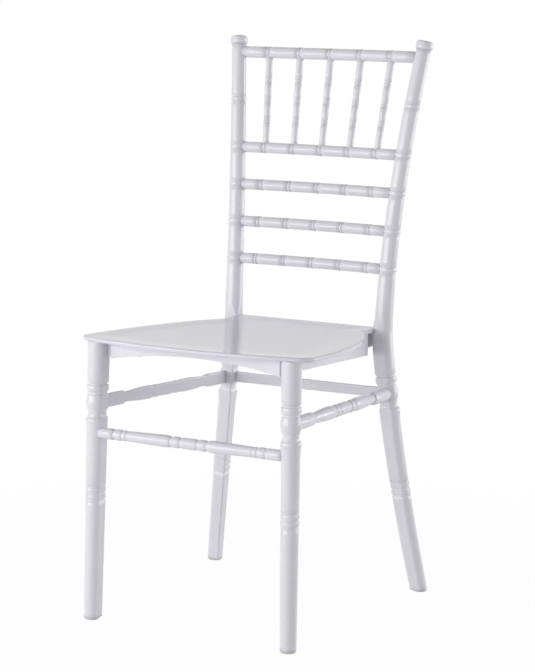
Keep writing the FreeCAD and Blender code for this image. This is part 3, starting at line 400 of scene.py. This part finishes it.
def mirrored(piece, name):
    """The same piece on the left side."""
    mesh = piece.data.copy()
    mesh.name = name
    mesh.transform(Matrix.Scale(-1, 4, X_AXIS))
    mesh.flip_normals()
    twin = bpy.data.objects.new(name, mesh)
    bpy.context.scene.collection.objects.link(twin)
    return twin


# Finishes

def shader_node(tree, kind, **inputs):
    node = tree.nodes.new(kind)
    for name, value in inputs.items():
        link_value(tree, node.inputs[name.replace("_", " ")], value)
    return node


RESIN_IOR = 1.49
MOTTLE_SHADE = 0.97
MOTTLE_RANGE = (0.3, 0.7)
GLOSS_SPREAD = (0.85, 1.2)
FLOW_SHARE = 6.0


def moulded_resin(name, tint, roughness, texture_height):
    """Plastic with a faint mottle, a soft orange-peel surface and uneven gloss."""
    finish = bpy.data.materials.new(name)
    finish.use_nodes = True
    tree = finish.node_tree
    shader = tree.nodes["Principled BSDF"]
    place = tree.nodes.new("ShaderNodeTexCoord").outputs["Object"]
    mottle = shader_node(tree, "ShaderNodeTexNoise", Vector=place, Scale=9.0, Detail=3.0, Roughness=0.55)
    tone = tree.nodes.new("ShaderNodeValToRGB")
    dark, light = tone.color_ramp.elements
    dark.position, light.position = MOTTLE_RANGE
    dark.color = (*(channel * MOTTLE_SHADE for channel in tint), 1)
    light.color = (*tint, 1)
    tree.links.new(mottle.outputs["Fac"], tone.inputs["Fac"])
    tree.links.new(tone.outputs["Color"], shader.inputs["Base Color"])
    gloss = tree.nodes.new("ShaderNodeMapRange")
    wear = shader_node(tree, "ShaderNodeTexNoise", Vector=place, Scale=38.0, Detail=4.0)
    tree.links.new(wear.outputs["Fac"], gloss.inputs["Value"])
    gloss.inputs["To Min"].default_value = roughness * GLOSS_SPREAD[0]
    gloss.inputs["To Max"].default_value = roughness * GLOSS_SPREAD[1]
    tree.links.new(gloss.outputs["Result"], shader.inputs["Roughness"])
    skin = shader_node(tree, "ShaderNodeTexNoise", Vector=place, Scale=420.0, Detail=2.0)
    flow = shader_node(tree, "ShaderNodeTexNoise", Vector=place, Scale=26.0, Detail=1.0)
    waves = math_node(tree, "MULTIPLY", flow.outputs["Fac"], FLOW_SHARE)
    relief = math_node(tree, "ADD", skin.outputs["Fac"], waves)
    bump = shader_node(tree, "ShaderNodeBump", Height=relief, Distance=texture_height * MM, Strength=0.35)
    tree.links.new(bump.outputs["Normal"], shader.inputs["Normal"])
    shader.inputs["IOR"].default_value = RESIN_IOR
    return finish


def plated_steel():
    """Zinc-plated screws: fine turning marks on bare metal."""
    finish = bpy.data.materials.new("plated_steel")
    finish.use_nodes = True
    tree = finish.node_tree
    shader = tree.nodes["Principled BSDF"]
    place = tree.nodes.new("ShaderNodeTexCoord").outputs["Object"]
    grain = shader_node(tree, "ShaderNodeTexNoise", Vector=place, Scale=700.0, Detail=3.0)
    tone = tree.nodes.new("ShaderNodeValToRGB")
    tone.color_ramp.elements[0].color = (0.42, 0.42, 0.44, 1)
    tone.color_ramp.elements[1].color = (0.66, 0.66, 0.68, 1)
    tree.links.new(grain.outputs["Fac"], tone.inputs["Fac"])
    tree.links.new(tone.outputs["Color"], shader.inputs["Base Color"])
    bump = shader_node(tree, "ShaderNodeBump", Height=grain.outputs["Fac"], Distance=0.05 * MM)
    tree.links.new(bump.outputs["Normal"], shader.inputs["Normal"])
    shader.inputs["Metallic"].default_value = 1
    shader.inputs["Roughness"].default_value = 0.35
    return finish


RESIN = moulded_resin("white_resin", tint=(0.79, 0.78, 0.84), roughness=0.2, texture_height=0.02)
SEAT_RESIN = moulded_resin("seat_resin", tint=(0.765, 0.755, 0.845), roughness=0.12, texture_height=0.008)
GLIDE_FINISH = moulded_resin("glide_nylon", tint=(0.62, 0.62, 0.63), roughness=0.55, texture_height=0.1)
SCREW_FINISH = plated_steel()


# Legs and posts

def bar_directions(axis, height):
    tangent = (axis(height + 1) - axis(height - 1)).normalized()
    across = (X_AXIS - tangent * X_AXIS.dot(tangent)).normalized()
    return across, tangent.cross(across)


POST_TOP = OVERALL_HEIGHT - FINIAL_HEIGHT
FRONT_PLAIN = ((0, FOOT_RADIUS), (SEAT_HEIGHT, HEAD_RADIUS))
REAR_PLAIN = ((0, FOOT_RADIUS), (WAIST_HEIGHT - HEAD_RUN, HEAD_RADIUS),
              (POST_LOW_HEIGHT, POST_LOW_RADIUS), (OVERALL_HEIGHT, POST_TOP_RADIUS))
FRONT_DETAILS = [(FRONT_TURNING, VASE), (FRONT_BEAD_HEIGHT, DOUBLE_BEAD)]
REAR_DETAILS = [(REAR_TURNING, VASE), (REAR_BEAD_HEIGHT, DOUBLE_BEAD)]
REAR_DETAILS += [(height, RING) for height in (SPINDLE_MIDDLE, UPPER_RAIL_HEIGHT, *LOWER_RAIL_HEIGHTS)]
ROUNDING = ((0, 0), (WAIST_HEIGHT, 0), (ROUND_HEIGHT, 1))
ROUNDED_RUN = (WAIST_HEIGHT, ((-1, 0), (ROUND_HEIGHT - WAIST_HEIGHT, 0)))
WAIST_SQUARENESS = 0.28
SQUARENESS = ((0, 1), (WAIST_HEIGHT - 1, 1), (WAIST_HEIGHT, WAIST_SQUARENESS), (ROUND_HEIGHT, 0))
GROOVE_SHARE = 0.9
TRIM = 8
CUT_WIDTH = 0.001
FINIAL_STEPS = 40
SHOULDER_GAP = 0.1


def flat_change(change):
    """A groove runs on across the flats, a little shallower; a bead stops at them."""
    return GROOVE_SHARE * min(change, 0)


def leg_stations():
    """Round outside and square towards the middle of the chair."""
    stations = []
    for height in places(FRONT_DETAILS, -TRIM, SEAT_HEIGHT):
        across, forward = bar_directions(front_leg_axis, height)
        plain = blend(FRONT_PLAIN, height)
        radius = radius_at(FRONT_PLAIN, FRONT_DETAILS, height)
        flat = plain + flat_change(radius - plain) - LEG_FLAT_RELIEF
        stations.append(Station(front_leg_axis(height), across, forward, radius, (flat, flat), CORNER, 1))
    return stations


def post_stations():
    """Like a leg below the seat, and round above it."""
    stations = []
    for height in places(REAR_DETAILS + [ROUNDED_RUN], -TRIM, POST_TOP):
        across, forward = bar_directions(rear_post_axis, height)
        rounded = blend(ROUNDING, height)
        plain = blend(REAR_PLAIN, height)
        radius = radius_at(REAR_PLAIN, REAR_DETAILS, height)
        relief = LEG_FLAT_RELIEF + (POST_FLAT_RELIEF - LEG_FLAT_RELIEF) * rounded
        change = radius - plain
        flat = plain + change * rounded + flat_change(change) * (1 - rounded) - relief
        stations.append(Station(rear_post_axis(height), across, -forward, radius, (flat, flat), CORNER,
                                blend(SQUARENESS, height)))
    return stations


def trimmed(piece, height, slope, upper):
    """Cuts off the part of a bar above or below a height; the cut may slope along Y."""
    work = bmesh.new()
    work.from_mesh(piece.data)
    everything = work.verts[:] + work.edges[:] + work.faces[:]
    normal = Vector((0, -slope, 1)).normalized() * (1 if upper else -1)
    cut = bmesh.ops.bisect_plane(work, geom=everything, dist=CUT_WIDTH * MM, plane_co=(0, 0, height * MM),
                                 plane_no=normal, clear_outer=True)
    rim = [item for item in cut["geom_cut"] if isinstance(item, bmesh.types.BMEdge)]
    lid = bmesh.ops.edgeloop_fill(work, edges=rim)["faces"]
    bmesh.ops.recalc_face_normals(work, faces=work.faces)
    for face in lid:
        face.smooth = False
    work.to_mesh(piece.data)
    work.free()


def legs_and_posts():
    run = SEAT_REAR - SEAT_FRONT
    leg_y = FRONT_HEAD.y
    slope = -2 * (SEAT_HEIGHT - SEAT_REAR_HEIGHT) * (SEAT_REAR - leg_y) / run ** 2
    leg_top = seat_top(leg_y) - SEAT_THICKNESS - SHOULDER_GAP - slope * leg_y
    leg = turned_bar("front_leg_right_turned", leg_stations(), RESIN)
    trimmed(leg, leg_top, slope, upper=True)
    post = turned_bar("rear_post_right_turned", post_stations(), RESIN)
    cap = turned_bar("finial_right_turned", finial_stations(), RESIN)
    for bar in (leg, post):
        trimmed(bar, GLIDE_THICKNESS, 0, upper=False)
    for piece, node in ((leg, "front_leg"), (post, "rear_post"), (cap, "finial")):
        settle(mirrored(piece, node + "_left_turned"), "resin", node + "_left")
        settle(piece, "resin", node + "_right")


def finial_stations():
    stations = []
    low, high = FINIAL_CAP[0][0], FINIAL_CAP[-1][0]
    for step in range(FINIAL_STEPS + 1):
        rise = low + (high - low) * step / FINIAL_STEPS
        height = POST_TOP + SHOULDER_GAP + rise * FINIAL_SHARE
        across, forward = bar_directions(rear_post_axis, height)
        radius = FINIAL_RADIUS + curve_value(FINIAL_CAP, rise)
        flat = radius - POST_FLAT_RELIEF
        stations.append(Station(rear_post_axis(height), across, -forward, radius, (flat, flat), CORNER))
    return stations


legs_and_posts()


# Back rails and spindles

SHOULDER_EDGE = 0.5
SHOULDER_ROOM = 1.5
POST_GAP = 0.3
SPINDLE_DEPTH = 4


class RailLine:
    """Plan arc of a back rail between the post axes."""

    def __init__(self, height):
        end = rear_post_axis(height)
        self.height = height
        self.half = end.x
        self.radius = (end.x ** 2 + RAIL_BOW ** 2) / (2 * RAIL_BOW)
        self.centre_y = end.y + RAIL_BOW - self.radius

    def point(self, x):
        return Vector((x, self.centre_y + math.sqrt(self.radius ** 2 - x ** 2), self.height))

    def outwards(self, x):
        return Vector((x, self.point(x).y - self.centre_y, 0)).normalized()


def post_face(y, height):
    """Distance from the middle of the chair to the inner side of a back post, at a distance y."""
    axis = rear_post_axis(height)
    radius = blend(REAR_PLAIN, height)
    return axis.x - math.sqrt(max(radius ** 2 - (y - axis.y) ** 2, 0))


def coped(piece, reach):
    """Moves everything beyond a reach so that the shoulders follow the round posts."""
    for vertex in piece.data.vertices:
        x, y, z = vertex.co / MM
        if abs(x) > reach - SHOULDER_ROOM:
            beyond = abs(x) - reach
            vertex.co.x = math.copysign(post_face(y, z) - POST_GAP + beyond, x) * MM


def back_rail(name, height, radius, pitch):
    """Rail with rings, coped shoulders and a tenon in each post."""
    line = RailLine(height)
    reach = line.half - blend(REAR_PLAIN, height)
    rings = [(place * pitch, FINE_RING) for place in BACK_PLACES]
    plain = ((-line.half, radius), (line.half, radius))
    room = reach - 2 * radius
    ends = [(reach - SHOULDER_EDGE, radius), (reach, radius - SHOULDER_EDGE), (reach, TENON_RADIUS),
            (reach + TENON_LENGTH, TENON_RADIUS)]
    right = [Station(line.point(x), Y_AXIS, Z_AXIS, end_radius) for x, end_radius in ends]
    left = [Station(line.point(-x), Y_AXIS, Z_AXIS, end_radius) for x, end_radius in reversed(ends)]
    middle = [Station(line.point(x), line.outwards(x), Z_AXIS, radius_at(plain, rings, x))
              for x in places(rings, -room, room)]
    rail = turned_bar(name + "_turned", left + middle + right, RESIN)
    coped(rail, reach)
    settle(rail, "resin", name)


def spindle(number, place):
    low = RailLine(UPPER_RAIL_HEIGHT).point(place * RAIL_PITCH)
    high = RailLine(CREST_HEIGHT).point(place * CREST_PITCH)
    along = (high - low).normalized()
    length = (high - low).length
    across = (X_AXIS - along * X_AXIS.dot(along)).normalized()
    middle = (SPINDLE_MIDDLE - low.z) / along.z
    rings = [(middle + step * SPINDLE_RING_PITCH, FINE_RING) for step in (-1, 0, 1)]
    plain = ((0, SPINDLE_FOOT_RADIUS), (length, SPINDLE_TOP_RADIUS))
    low_end = RAIL_RADIUS - SPINDLE_DEPTH
    high_end = length - CREST_RADIUS + SPINDLE_DEPTH
    stations = [Station(low + along * at, across, along.cross(across), radius_at(plain, rings, at))
                for at in places(rings, low_end, high_end)]
    settle(turned_bar(f"spindle_{number}_turned", stations, RESIN), "resin", f"spindle_{number}")


back_rail("crest_rail", CREST_HEIGHT, CREST_RADIUS, CREST_PITCH)
back_rail("upper_back_rail", UPPER_RAIL_HEIGHT, RAIL_RADIUS, RAIL_PITCH)
for number, height in enumerate(LOWER_RAIL_HEIGHTS, start=1):
    back_rail(f"lower_back_rail_{number}", height, RAIL_RADIUS, RAIL_PITCH)
for number, place in enumerate(BACK_PLACES, start=1):
    spindle(number, place)


# Stretchers

def stretcher(name, start, end, pattern, inward):
    """Turned bar between two leg axes, flat on the side that faces under the seat."""
    middle = (start + end) / 2
    half = (end - start).length / 2
    along = (end - start).normalized()
    side = (inward - along * inward.dot(along)).normalized()
    full = [(-place, radius) for place, radius in reversed(pattern) if place] + list(pattern)
    reach = half - STRETCHER_END
    stations = [Station(middle + along * at, along.cross(side), side, curve_value(full, at),
                        (NO_FLAT, STRETCHER_FLAT))
                for at in places([(0, full)], -reach, reach)]
    return turned_bar(name, stations, RESIN)


def stretchers():
    front = front_leg_axis(FRONT_STRETCHER_HEIGHT) - Y_AXIS * FRONT_STRETCHER_FORWARD
    front_left = Vector((-front.x, front.y, front.z))
    settle(stretcher("front_stretcher_turned", front_left, front, FRONT_STRETCHER, Y_AXIS),
           "resin", "front_stretcher")
    rear = rear_post_axis(REAR_TURNING)
    rear_left = Vector((-rear.x, rear.y, rear.z))
    settle(stretcher("rear_stretcher_turned", rear_left, rear, REAR_STRETCHER, -Y_AXIS),
           "resin", "rear_stretcher")
    side = stretcher("side_stretcher_right_turned", front_leg_axis(FRONT_TURNING), rear,
                     SIDE_STRETCHER, -X_AXIS)
    settle(mirrored(side, "side_stretcher_left_turned"), "resin", "side_stretcher_left")
    settle(side, "resin", "side_stretcher_right")


stretchers()


# Seat: one panel with a rolled edge and a shallow dish

SEAT_CORNER = (205, -210.8)
SEAT_WAIST = (180, 4.2)
SEAT_TONGUE = (131, 111.2)
SEAT_NOTCH_START = 154.4
SEAT_NOTCH_HALF = 127.2
SEAT_SIDE_BULGE = 7.3
SEAT_TAIL_BULGE = 6
CORNER_TANGENT = 17.5
ROLL_WIDTH = 3.2
TONGUE_ROLL_WIDTH = 2
ROLL_DROP = 0.75
ROLL_STEPS = 8
UNDER_EDGE = 0.8
DISH_DEPTH = 1.6
DISH_RUN = 45
OUTLINE_STEP = 4
CORNER_STEPS = 10
GRID_STEP = 9
GRID_CLEARANCE = 0.6
GRID_COLUMNS = range(-24, 25)
GRID_ROWS = range(-28, 20)
GRID_TOLERANCE = 1e-7
INSIDE_ONLY = 1
ROLL_CHANGE_RUN = 40
LEAST_MITRE = 0.5


def bowed(start, end, bulge):
    """Points from start up to end along an arc that bows to the right of its travel."""
    start, end = Vector(start), Vector(end)
    chord = end - start
    steps = max(1, round(chord.length / OUTLINE_STEP))
    side = Vector((chord.y, -chord.x)).normalized()
    if not bulge:
        return [start.lerp(end, i / steps) for i in range(steps)]
    radius = (chord.length ** 2 / 4 + bulge ** 2) / (2 * bulge)
    sweep = 2 * math.asin(chord.length / 2 / radius)
    centre = start + chord / 2 - side * (radius - bulge)
    spoke = start - centre
    return [centre + Matrix.Rotation(sweep * i / steps, 2) @ spoke for i in range(steps)]


def corner_arc(before, corner, after):
    """Round corner between the last kept point before it and the first one after it."""
    weight = math.cos((corner - before).angle(after - corner) / 2)
    points = []
    for i in range(1, CORNER_STEPS):
        t = i / CORNER_STEPS
        share = (1 - t) ** 2, 2 * t * (1 - t) * weight, t ** 2
        points.append((before * share[0] + corner * share[1] + after * share[2]) / sum(share))
    return points


def seat_outline():
    corner = Vector(SEAT_CORNER)
    front = bowed((-corner.x, corner.y), corner, SEAT_CORNER[1] - SEAT_FRONT)
    front = [point for point in front if (point - corner).length > CORNER_TANGENT and point.x > 0]
    side = [point for point in bowed(corner, SEAT_WAIST, SEAT_SIDE_BULGE)
            if (point - corner).length > CORNER_TANGENT]
    right = front + corner_arc(front[-1], corner, side[0]) + side
    right += bowed(SEAT_WAIST, SEAT_TONGUE, SEAT_TAIL_BULGE)
    right += bowed(SEAT_TONGUE, (SEAT_TONGUE[0], SEAT_NOTCH_START), 0)
    right += bowed((SEAT_TONGUE[0], SEAT_NOTCH_START), (SEAT_NOTCH_HALF, SEAT_NOTCH_START), 0)
    right += bowed((SEAT_NOTCH_HALF, SEAT_NOTCH_START), (SEAT_NOTCH_HALF, SEAT_REAR), 0)
    right += bowed((SEAT_NOTCH_HALF, SEAT_REAR), (0, SEAT_REAR), 0)
    left = [Vector((-point.x, point.y)) for point in reversed(right)]
    return right + [Vector((0, SEAT_REAR))] + left + [Vector((0, SEAT_FRONT))]


def inset(outline, widths):
    """The outline moved inwards by a width of its own at each point."""
    moved = []
    for index, point in enumerate(outline):
        ahead = (outline[(index + 1) % len(outline)] - point).normalized()
        behind = (point - outline[index - 1]).normalized()
        inwards = Vector((-(ahead.y + behind.y), ahead.x + behind.x))
        inwards = inwards / max(LEAST_MITRE, inwards.length_squared / 2)
        moved.append(point + inwards * widths[index])
    return moved


def roll_width(point):
    """Width of the rolled edge, narrower round the tongue between the posts."""
    share = min(1, max(0, (point.y - SEAT_TONGUE[1]) / ROLL_CHANGE_RUN + 1))
    return ROLL_WIDTH + (TONGUE_ROLL_WIDTH - ROLL_WIDTH) * share


def filled(work, loop, height):
    """Closes a loop of vertices with a mesh whose height follows a function."""
    flat = [vert.co.to_2d() for vert in loop]
    edge_tree = kdtree.KDTree(len(flat))
    for index, point in enumerate(flat):
        edge_tree.insert(point.to_3d(), index)
    edge_tree.balance()
    inner = []
    for point in (Vector((i, j)) * GRID_STEP * MM for i in GRID_COLUMNS for j in GRID_ROWS):
        if edge_tree.find(point.to_3d())[2] > GRID_STEP * MM * GRID_CLEARANCE:
            inner.append(point)
    count = len(flat)
    edges = [(i, (i + 1) % count) for i in range(count)]
    points, _, faces, sources, _, _ = geometry.delaunay_2d_cdt(
        flat + inner, edges, [], INSIDE_ONLY, GRID_TOLERANCE)
    verts = {}
    for index, (point, source) in enumerate(zip(points, sources)):
        rim = [i for i in source if i < count]
        if rim:
            verts[index] = loop[rim[0]]
    for face in faces:
        for index in face:
            if index not in verts:
                point = points[index]
                distance = edge_tree.find(point.to_3d())[2]
                verts[index] = work.verts.new((*point, height(point.y / MM, distance / MM) * MM))
        work.faces.new([verts[index] for index in face])


def dished(y, distance):
    """Height of the seat's upper face at a distance from its edge."""
    share = min(1, distance / DISH_RUN)
    return seat_top(y) - DISH_DEPTH * share * share * (3 - 2 * share)


def seat_under(y):
    return seat_top(y) - SEAT_THICKNESS


def seat_panel():
    outline = seat_outline()
    widths = [roll_width(point) for point in outline]
    work = bmesh.new()

    def loop_of(points, height):
        return [work.verts.new((point.x * MM, point.y * MM, height(point.y, index) * MM))
                for index, point in enumerate(points)]

    loops = [loop_of(inset(outline, [UNDER_EDGE] * len(outline)), lambda y, i: seat_under(y)),
             loop_of(outline, lambda y, i: seat_under(y) + UNDER_EDGE)]
    for step in range(ROLL_STEPS + 1):
        turn = math.pi / 2 * step / ROLL_STEPS
        points = inset(outline, [width * (1 - math.cos(turn)) for width in widths])
        loops.append(loop_of(points, lambda y, i: seat_top(y) - widths[i] * ROLL_DROP * (1 - math.sin(turn))))
    for low, high in zip(loops, loops[1:]):
        for i in range(len(low)):
            j = (i + 1) % len(low)
            work.faces.new((low[i], low[j], high[j], high[i]))
    filled(work, loops[0], lambda y, distance: seat_under(y))
    filled(work, loops[-1], dished)
    for face in work.faces:
        face.smooth = True
    mesh = bpy.data.meshes.new("seat_panel_moulded")
    work.to_mesh(mesh)
    work.free()
    mesh.materials.append(SEAT_RESIN)
    settle(finished_object("seat_panel_moulded", mesh), "resin", "seat_panel")


seat_panel()


# Pieces that keep the shape of their solid

APRONS = ("front_apron", "rear_apron", "side_apron_right", "side_apron_left")
APRON_EDGE = 0.8
EDGE_SEGMENTS = 3
FLAT_ANGLE = math.radians(1)
SHARP_ANGLE = math.radians(40)


def softened_apron(node):
    """Dressed copy of an apron whose sharp edges are rounded."""
    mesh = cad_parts[node].data.copy()
    mesh.name = node + "_softened"
    mesh.materials.clear()
    mesh.materials.append(RESIN)
    piece = finished_object(node + "_softened", mesh)
    work = bmesh.new()
    work.from_mesh(mesh)
    bmesh.ops.dissolve_limit(work, angle_limit=FLAT_ANGLE, verts=work.verts, edges=work.edges)
    work.to_mesh(mesh)
    work.free()
    bevel = piece.modifiers.new("edge", "BEVEL")
    bevel.width = APRON_EDGE * MM
    bevel.segments = EDGE_SEGMENTS
    bevel.limit_method = "ANGLE"
    bevel.angle_limit = SHARP_ANGLE
    bevel.harden_normals = False
    graph = bpy.context.evaluated_depsgraph_get()
    rounded = bpy.data.meshes.new_from_object(piece.evaluated_get(graph))
    piece.modifiers.clear()
    piece.data = rounded
    settle(piece, "resin", node)


def painted_solids():
    """Glides, screws and brackets keep their solids and only get their finish."""
    for name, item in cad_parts.items():
        finish = RESIN
        if "glide" in name:
            finish = GLIDE_FINISH
        if "screw" in name:
            finish = SCREW_FINISH
        item.data.materials.clear()
        item.data.materials.append(finish)


for apron in APRONS:
    softened_apron(apron)
painted_solids()


# Studio: pale floor, soft lamps and the camera, which is solved on the photograph.  The target and
# the distance are in millimetres; the focal length and the shift of the centre are in its pixels.

PHOTO_HEIGHT = 672
CAMERA_AZIMUTH = math.radians(28.8)
CAMERA_ELEVATION = math.radians(8.91)
CAMERA_ROLL = math.radians(0.74)
CAMERA_TARGET = Vector((0, 24.2, 450))
CAMERA_DISTANCE = 3705.27
FOCAL_PIXELS = 2291.88
CENTRE_SHIFT = (-1.9, -6.63)
SENSOR = 36
CLIP_END = 100
WORLD_LEVEL = 0.335
LAMP_DISTANCE = 4
FLOOR_HALF = 30
SHADOW_REACH = (0.35, 1.1)
SHADOW_SHARE = 0.96


def studio_camera():
    data = bpy.data.cameras.new("camera")
    camera = bpy.data.objects.new("camera", data)
    bpy.context.scene.collection.objects.link(camera)
    back = Vector((math.sin(CAMERA_AZIMUTH) * math.cos(CAMERA_ELEVATION),
                   -math.cos(CAMERA_AZIMUTH) * math.cos(CAMERA_ELEVATION),
                   math.sin(CAMERA_ELEVATION)))
    right = Vector((math.cos(CAMERA_AZIMUTH), math.sin(CAMERA_AZIMUTH), 0))
    up = back.cross(right)
    rolled_right = right * math.cos(CAMERA_ROLL) + up * math.sin(CAMERA_ROLL)
    rolled_up = up * math.cos(CAMERA_ROLL) - right * math.sin(CAMERA_ROLL)
    turn = Matrix((rolled_right, rolled_up, back)).transposed()
    camera.matrix_world = Matrix.Translation((CAMERA_TARGET + back * CAMERA_DISTANCE) * MM) @ turn.to_4x4()
    data.sensor_width = SENSOR
    data.lens = FOCAL_PIXELS * SENSOR / PHOTO_HEIGHT
    data.shift_x = -CENTRE_SHIFT[0] / PHOTO_HEIGHT
    data.shift_y = CENTRE_SHIFT[1] / PHOTO_HEIGHT
    data.clip_end = CLIP_END
    bpy.context.scene.camera = camera


def softbox(name, azimuth, width, height, middle, power):
    """Upright area lamp round the chair; azimuth is measured from the front towards +X."""
    data = bpy.data.lights.new(name, "AREA")
    data.shape = "RECTANGLE"
    data.size = width
    data.size_y = height
    data.energy = power
    angle = math.radians(azimuth)
    out = Vector((math.sin(angle), -math.cos(angle), 0))
    lamp = bpy.data.objects.new(name, data)
    lamp.location = out * LAMP_DISTANCE + Z_AXIS * middle
    lamp.rotation_euler = out.to_track_quat("Z", "Y").to_euler()
    bpy.context.scene.collection.objects.link(lamp)


def shown_share(tree):
    """1 for what the camera sees directly, in a gloss or through a clear piece."""
    seen = tree.nodes.new("ShaderNodeLightPath")
    mirrored_or_direct = math_node(
        tree, "MAXIMUM", seen.outputs["Is Camera Ray"], seen.outputs["Is Glossy Ray"])
    return math_node(tree, "MAXIMUM", mirrored_or_direct, seen.outputs["Is Transmission Ray"])


def studio_floor():
    """Pale floor that shows white, and keeps a faint shadow round the chair."""
    mesh = bpy.data.meshes.new("floor")
    corners = [(x * FLOOR_HALF, y * FLOOR_HALF, 0) for x, y in ((-1, -1), (1, -1), (1, 1), (-1, 1))]
    mesh.from_pydata(corners, [], [(0, 1, 2, 3)])
    floor = bpy.data.objects.new("floor", mesh)
    bpy.context.scene.collection.objects.link(floor)
    finish = bpy.data.materials.new("pale_floor")
    finish.use_nodes = True
    tree = finish.node_tree
    shader = tree.nodes["Principled BSDF"]
    shader.inputs["Base Color"].default_value = (0.85, 0.85, 0.86, 1)
    shader.inputs["Roughness"].default_value = 0.9
    glow = tree.nodes.new("ShaderNodeEmission")
    place = tree.nodes.new("ShaderNodeTexCoord").outputs["Object"]
    distance = vector_node(tree, "LENGTH", place)
    clear = tree.nodes.new("ShaderNodeMapRange")
    tree.links.new(distance, clear.inputs["Value"])
    clear.inputs["From Min"].default_value = SHADOW_REACH[0]
    clear.inputs["From Max"].default_value = SHADOW_REACH[1]
    clear.inputs["To Min"].default_value = SHADOW_SHARE
    clear.inputs["To Max"].default_value = 1
    share = math_node(tree, "MULTIPLY", shown_share(tree), clear.outputs["Result"])
    mix = tree.nodes.new("ShaderNodeMixShader")
    tree.links.new(share, mix.inputs["Fac"])
    tree.links.new(shader.outputs["BSDF"], mix.inputs[1])
    tree.links.new(glow.outputs["Emission"], mix.inputs[2])
    tree.links.new(mix.outputs["Shader"], tree.nodes["Material Output"].inputs["Surface"])
    mesh.materials.append(finish)


def studio_world():
    world = bpy.data.worlds.new("studio")
    world.use_nodes = True
    tree = world.node_tree
    plain = tree.nodes["Background"]
    plain.inputs["Color"].default_value = (1, 1, 1, 1)
    plain.inputs["Strength"].default_value = WORLD_LEVEL
    shown = tree.nodes.new("ShaderNodeBackground")
    shown.inputs["Color"].default_value = (1, 1, 1, 1)
    shown.inputs["Strength"].default_value = 1
    mix = tree.nodes.new("ShaderNodeMixShader")
    tree.links.new(shown_share(tree), mix.inputs["Fac"])
    tree.links.new(plain.outputs["Background"], mix.inputs[1])
    tree.links.new(shown.outputs["Background"], mix.inputs[2])
    tree.links.new(mix.outputs["Shader"], tree.nodes["World Output"].inputs["Surface"])
    bpy.context.scene.world = world


studio_camera()
studio_floor()
studio_world()
softbox("key", azimuth=-28, width=4.2, height=1.9, middle=1.0, power=106)
softbox("side", azimuth=130, width=3.6, height=1.9, middle=1.0, power=79)
bpy.context.scene.view_settings.view_transform = "Standard"
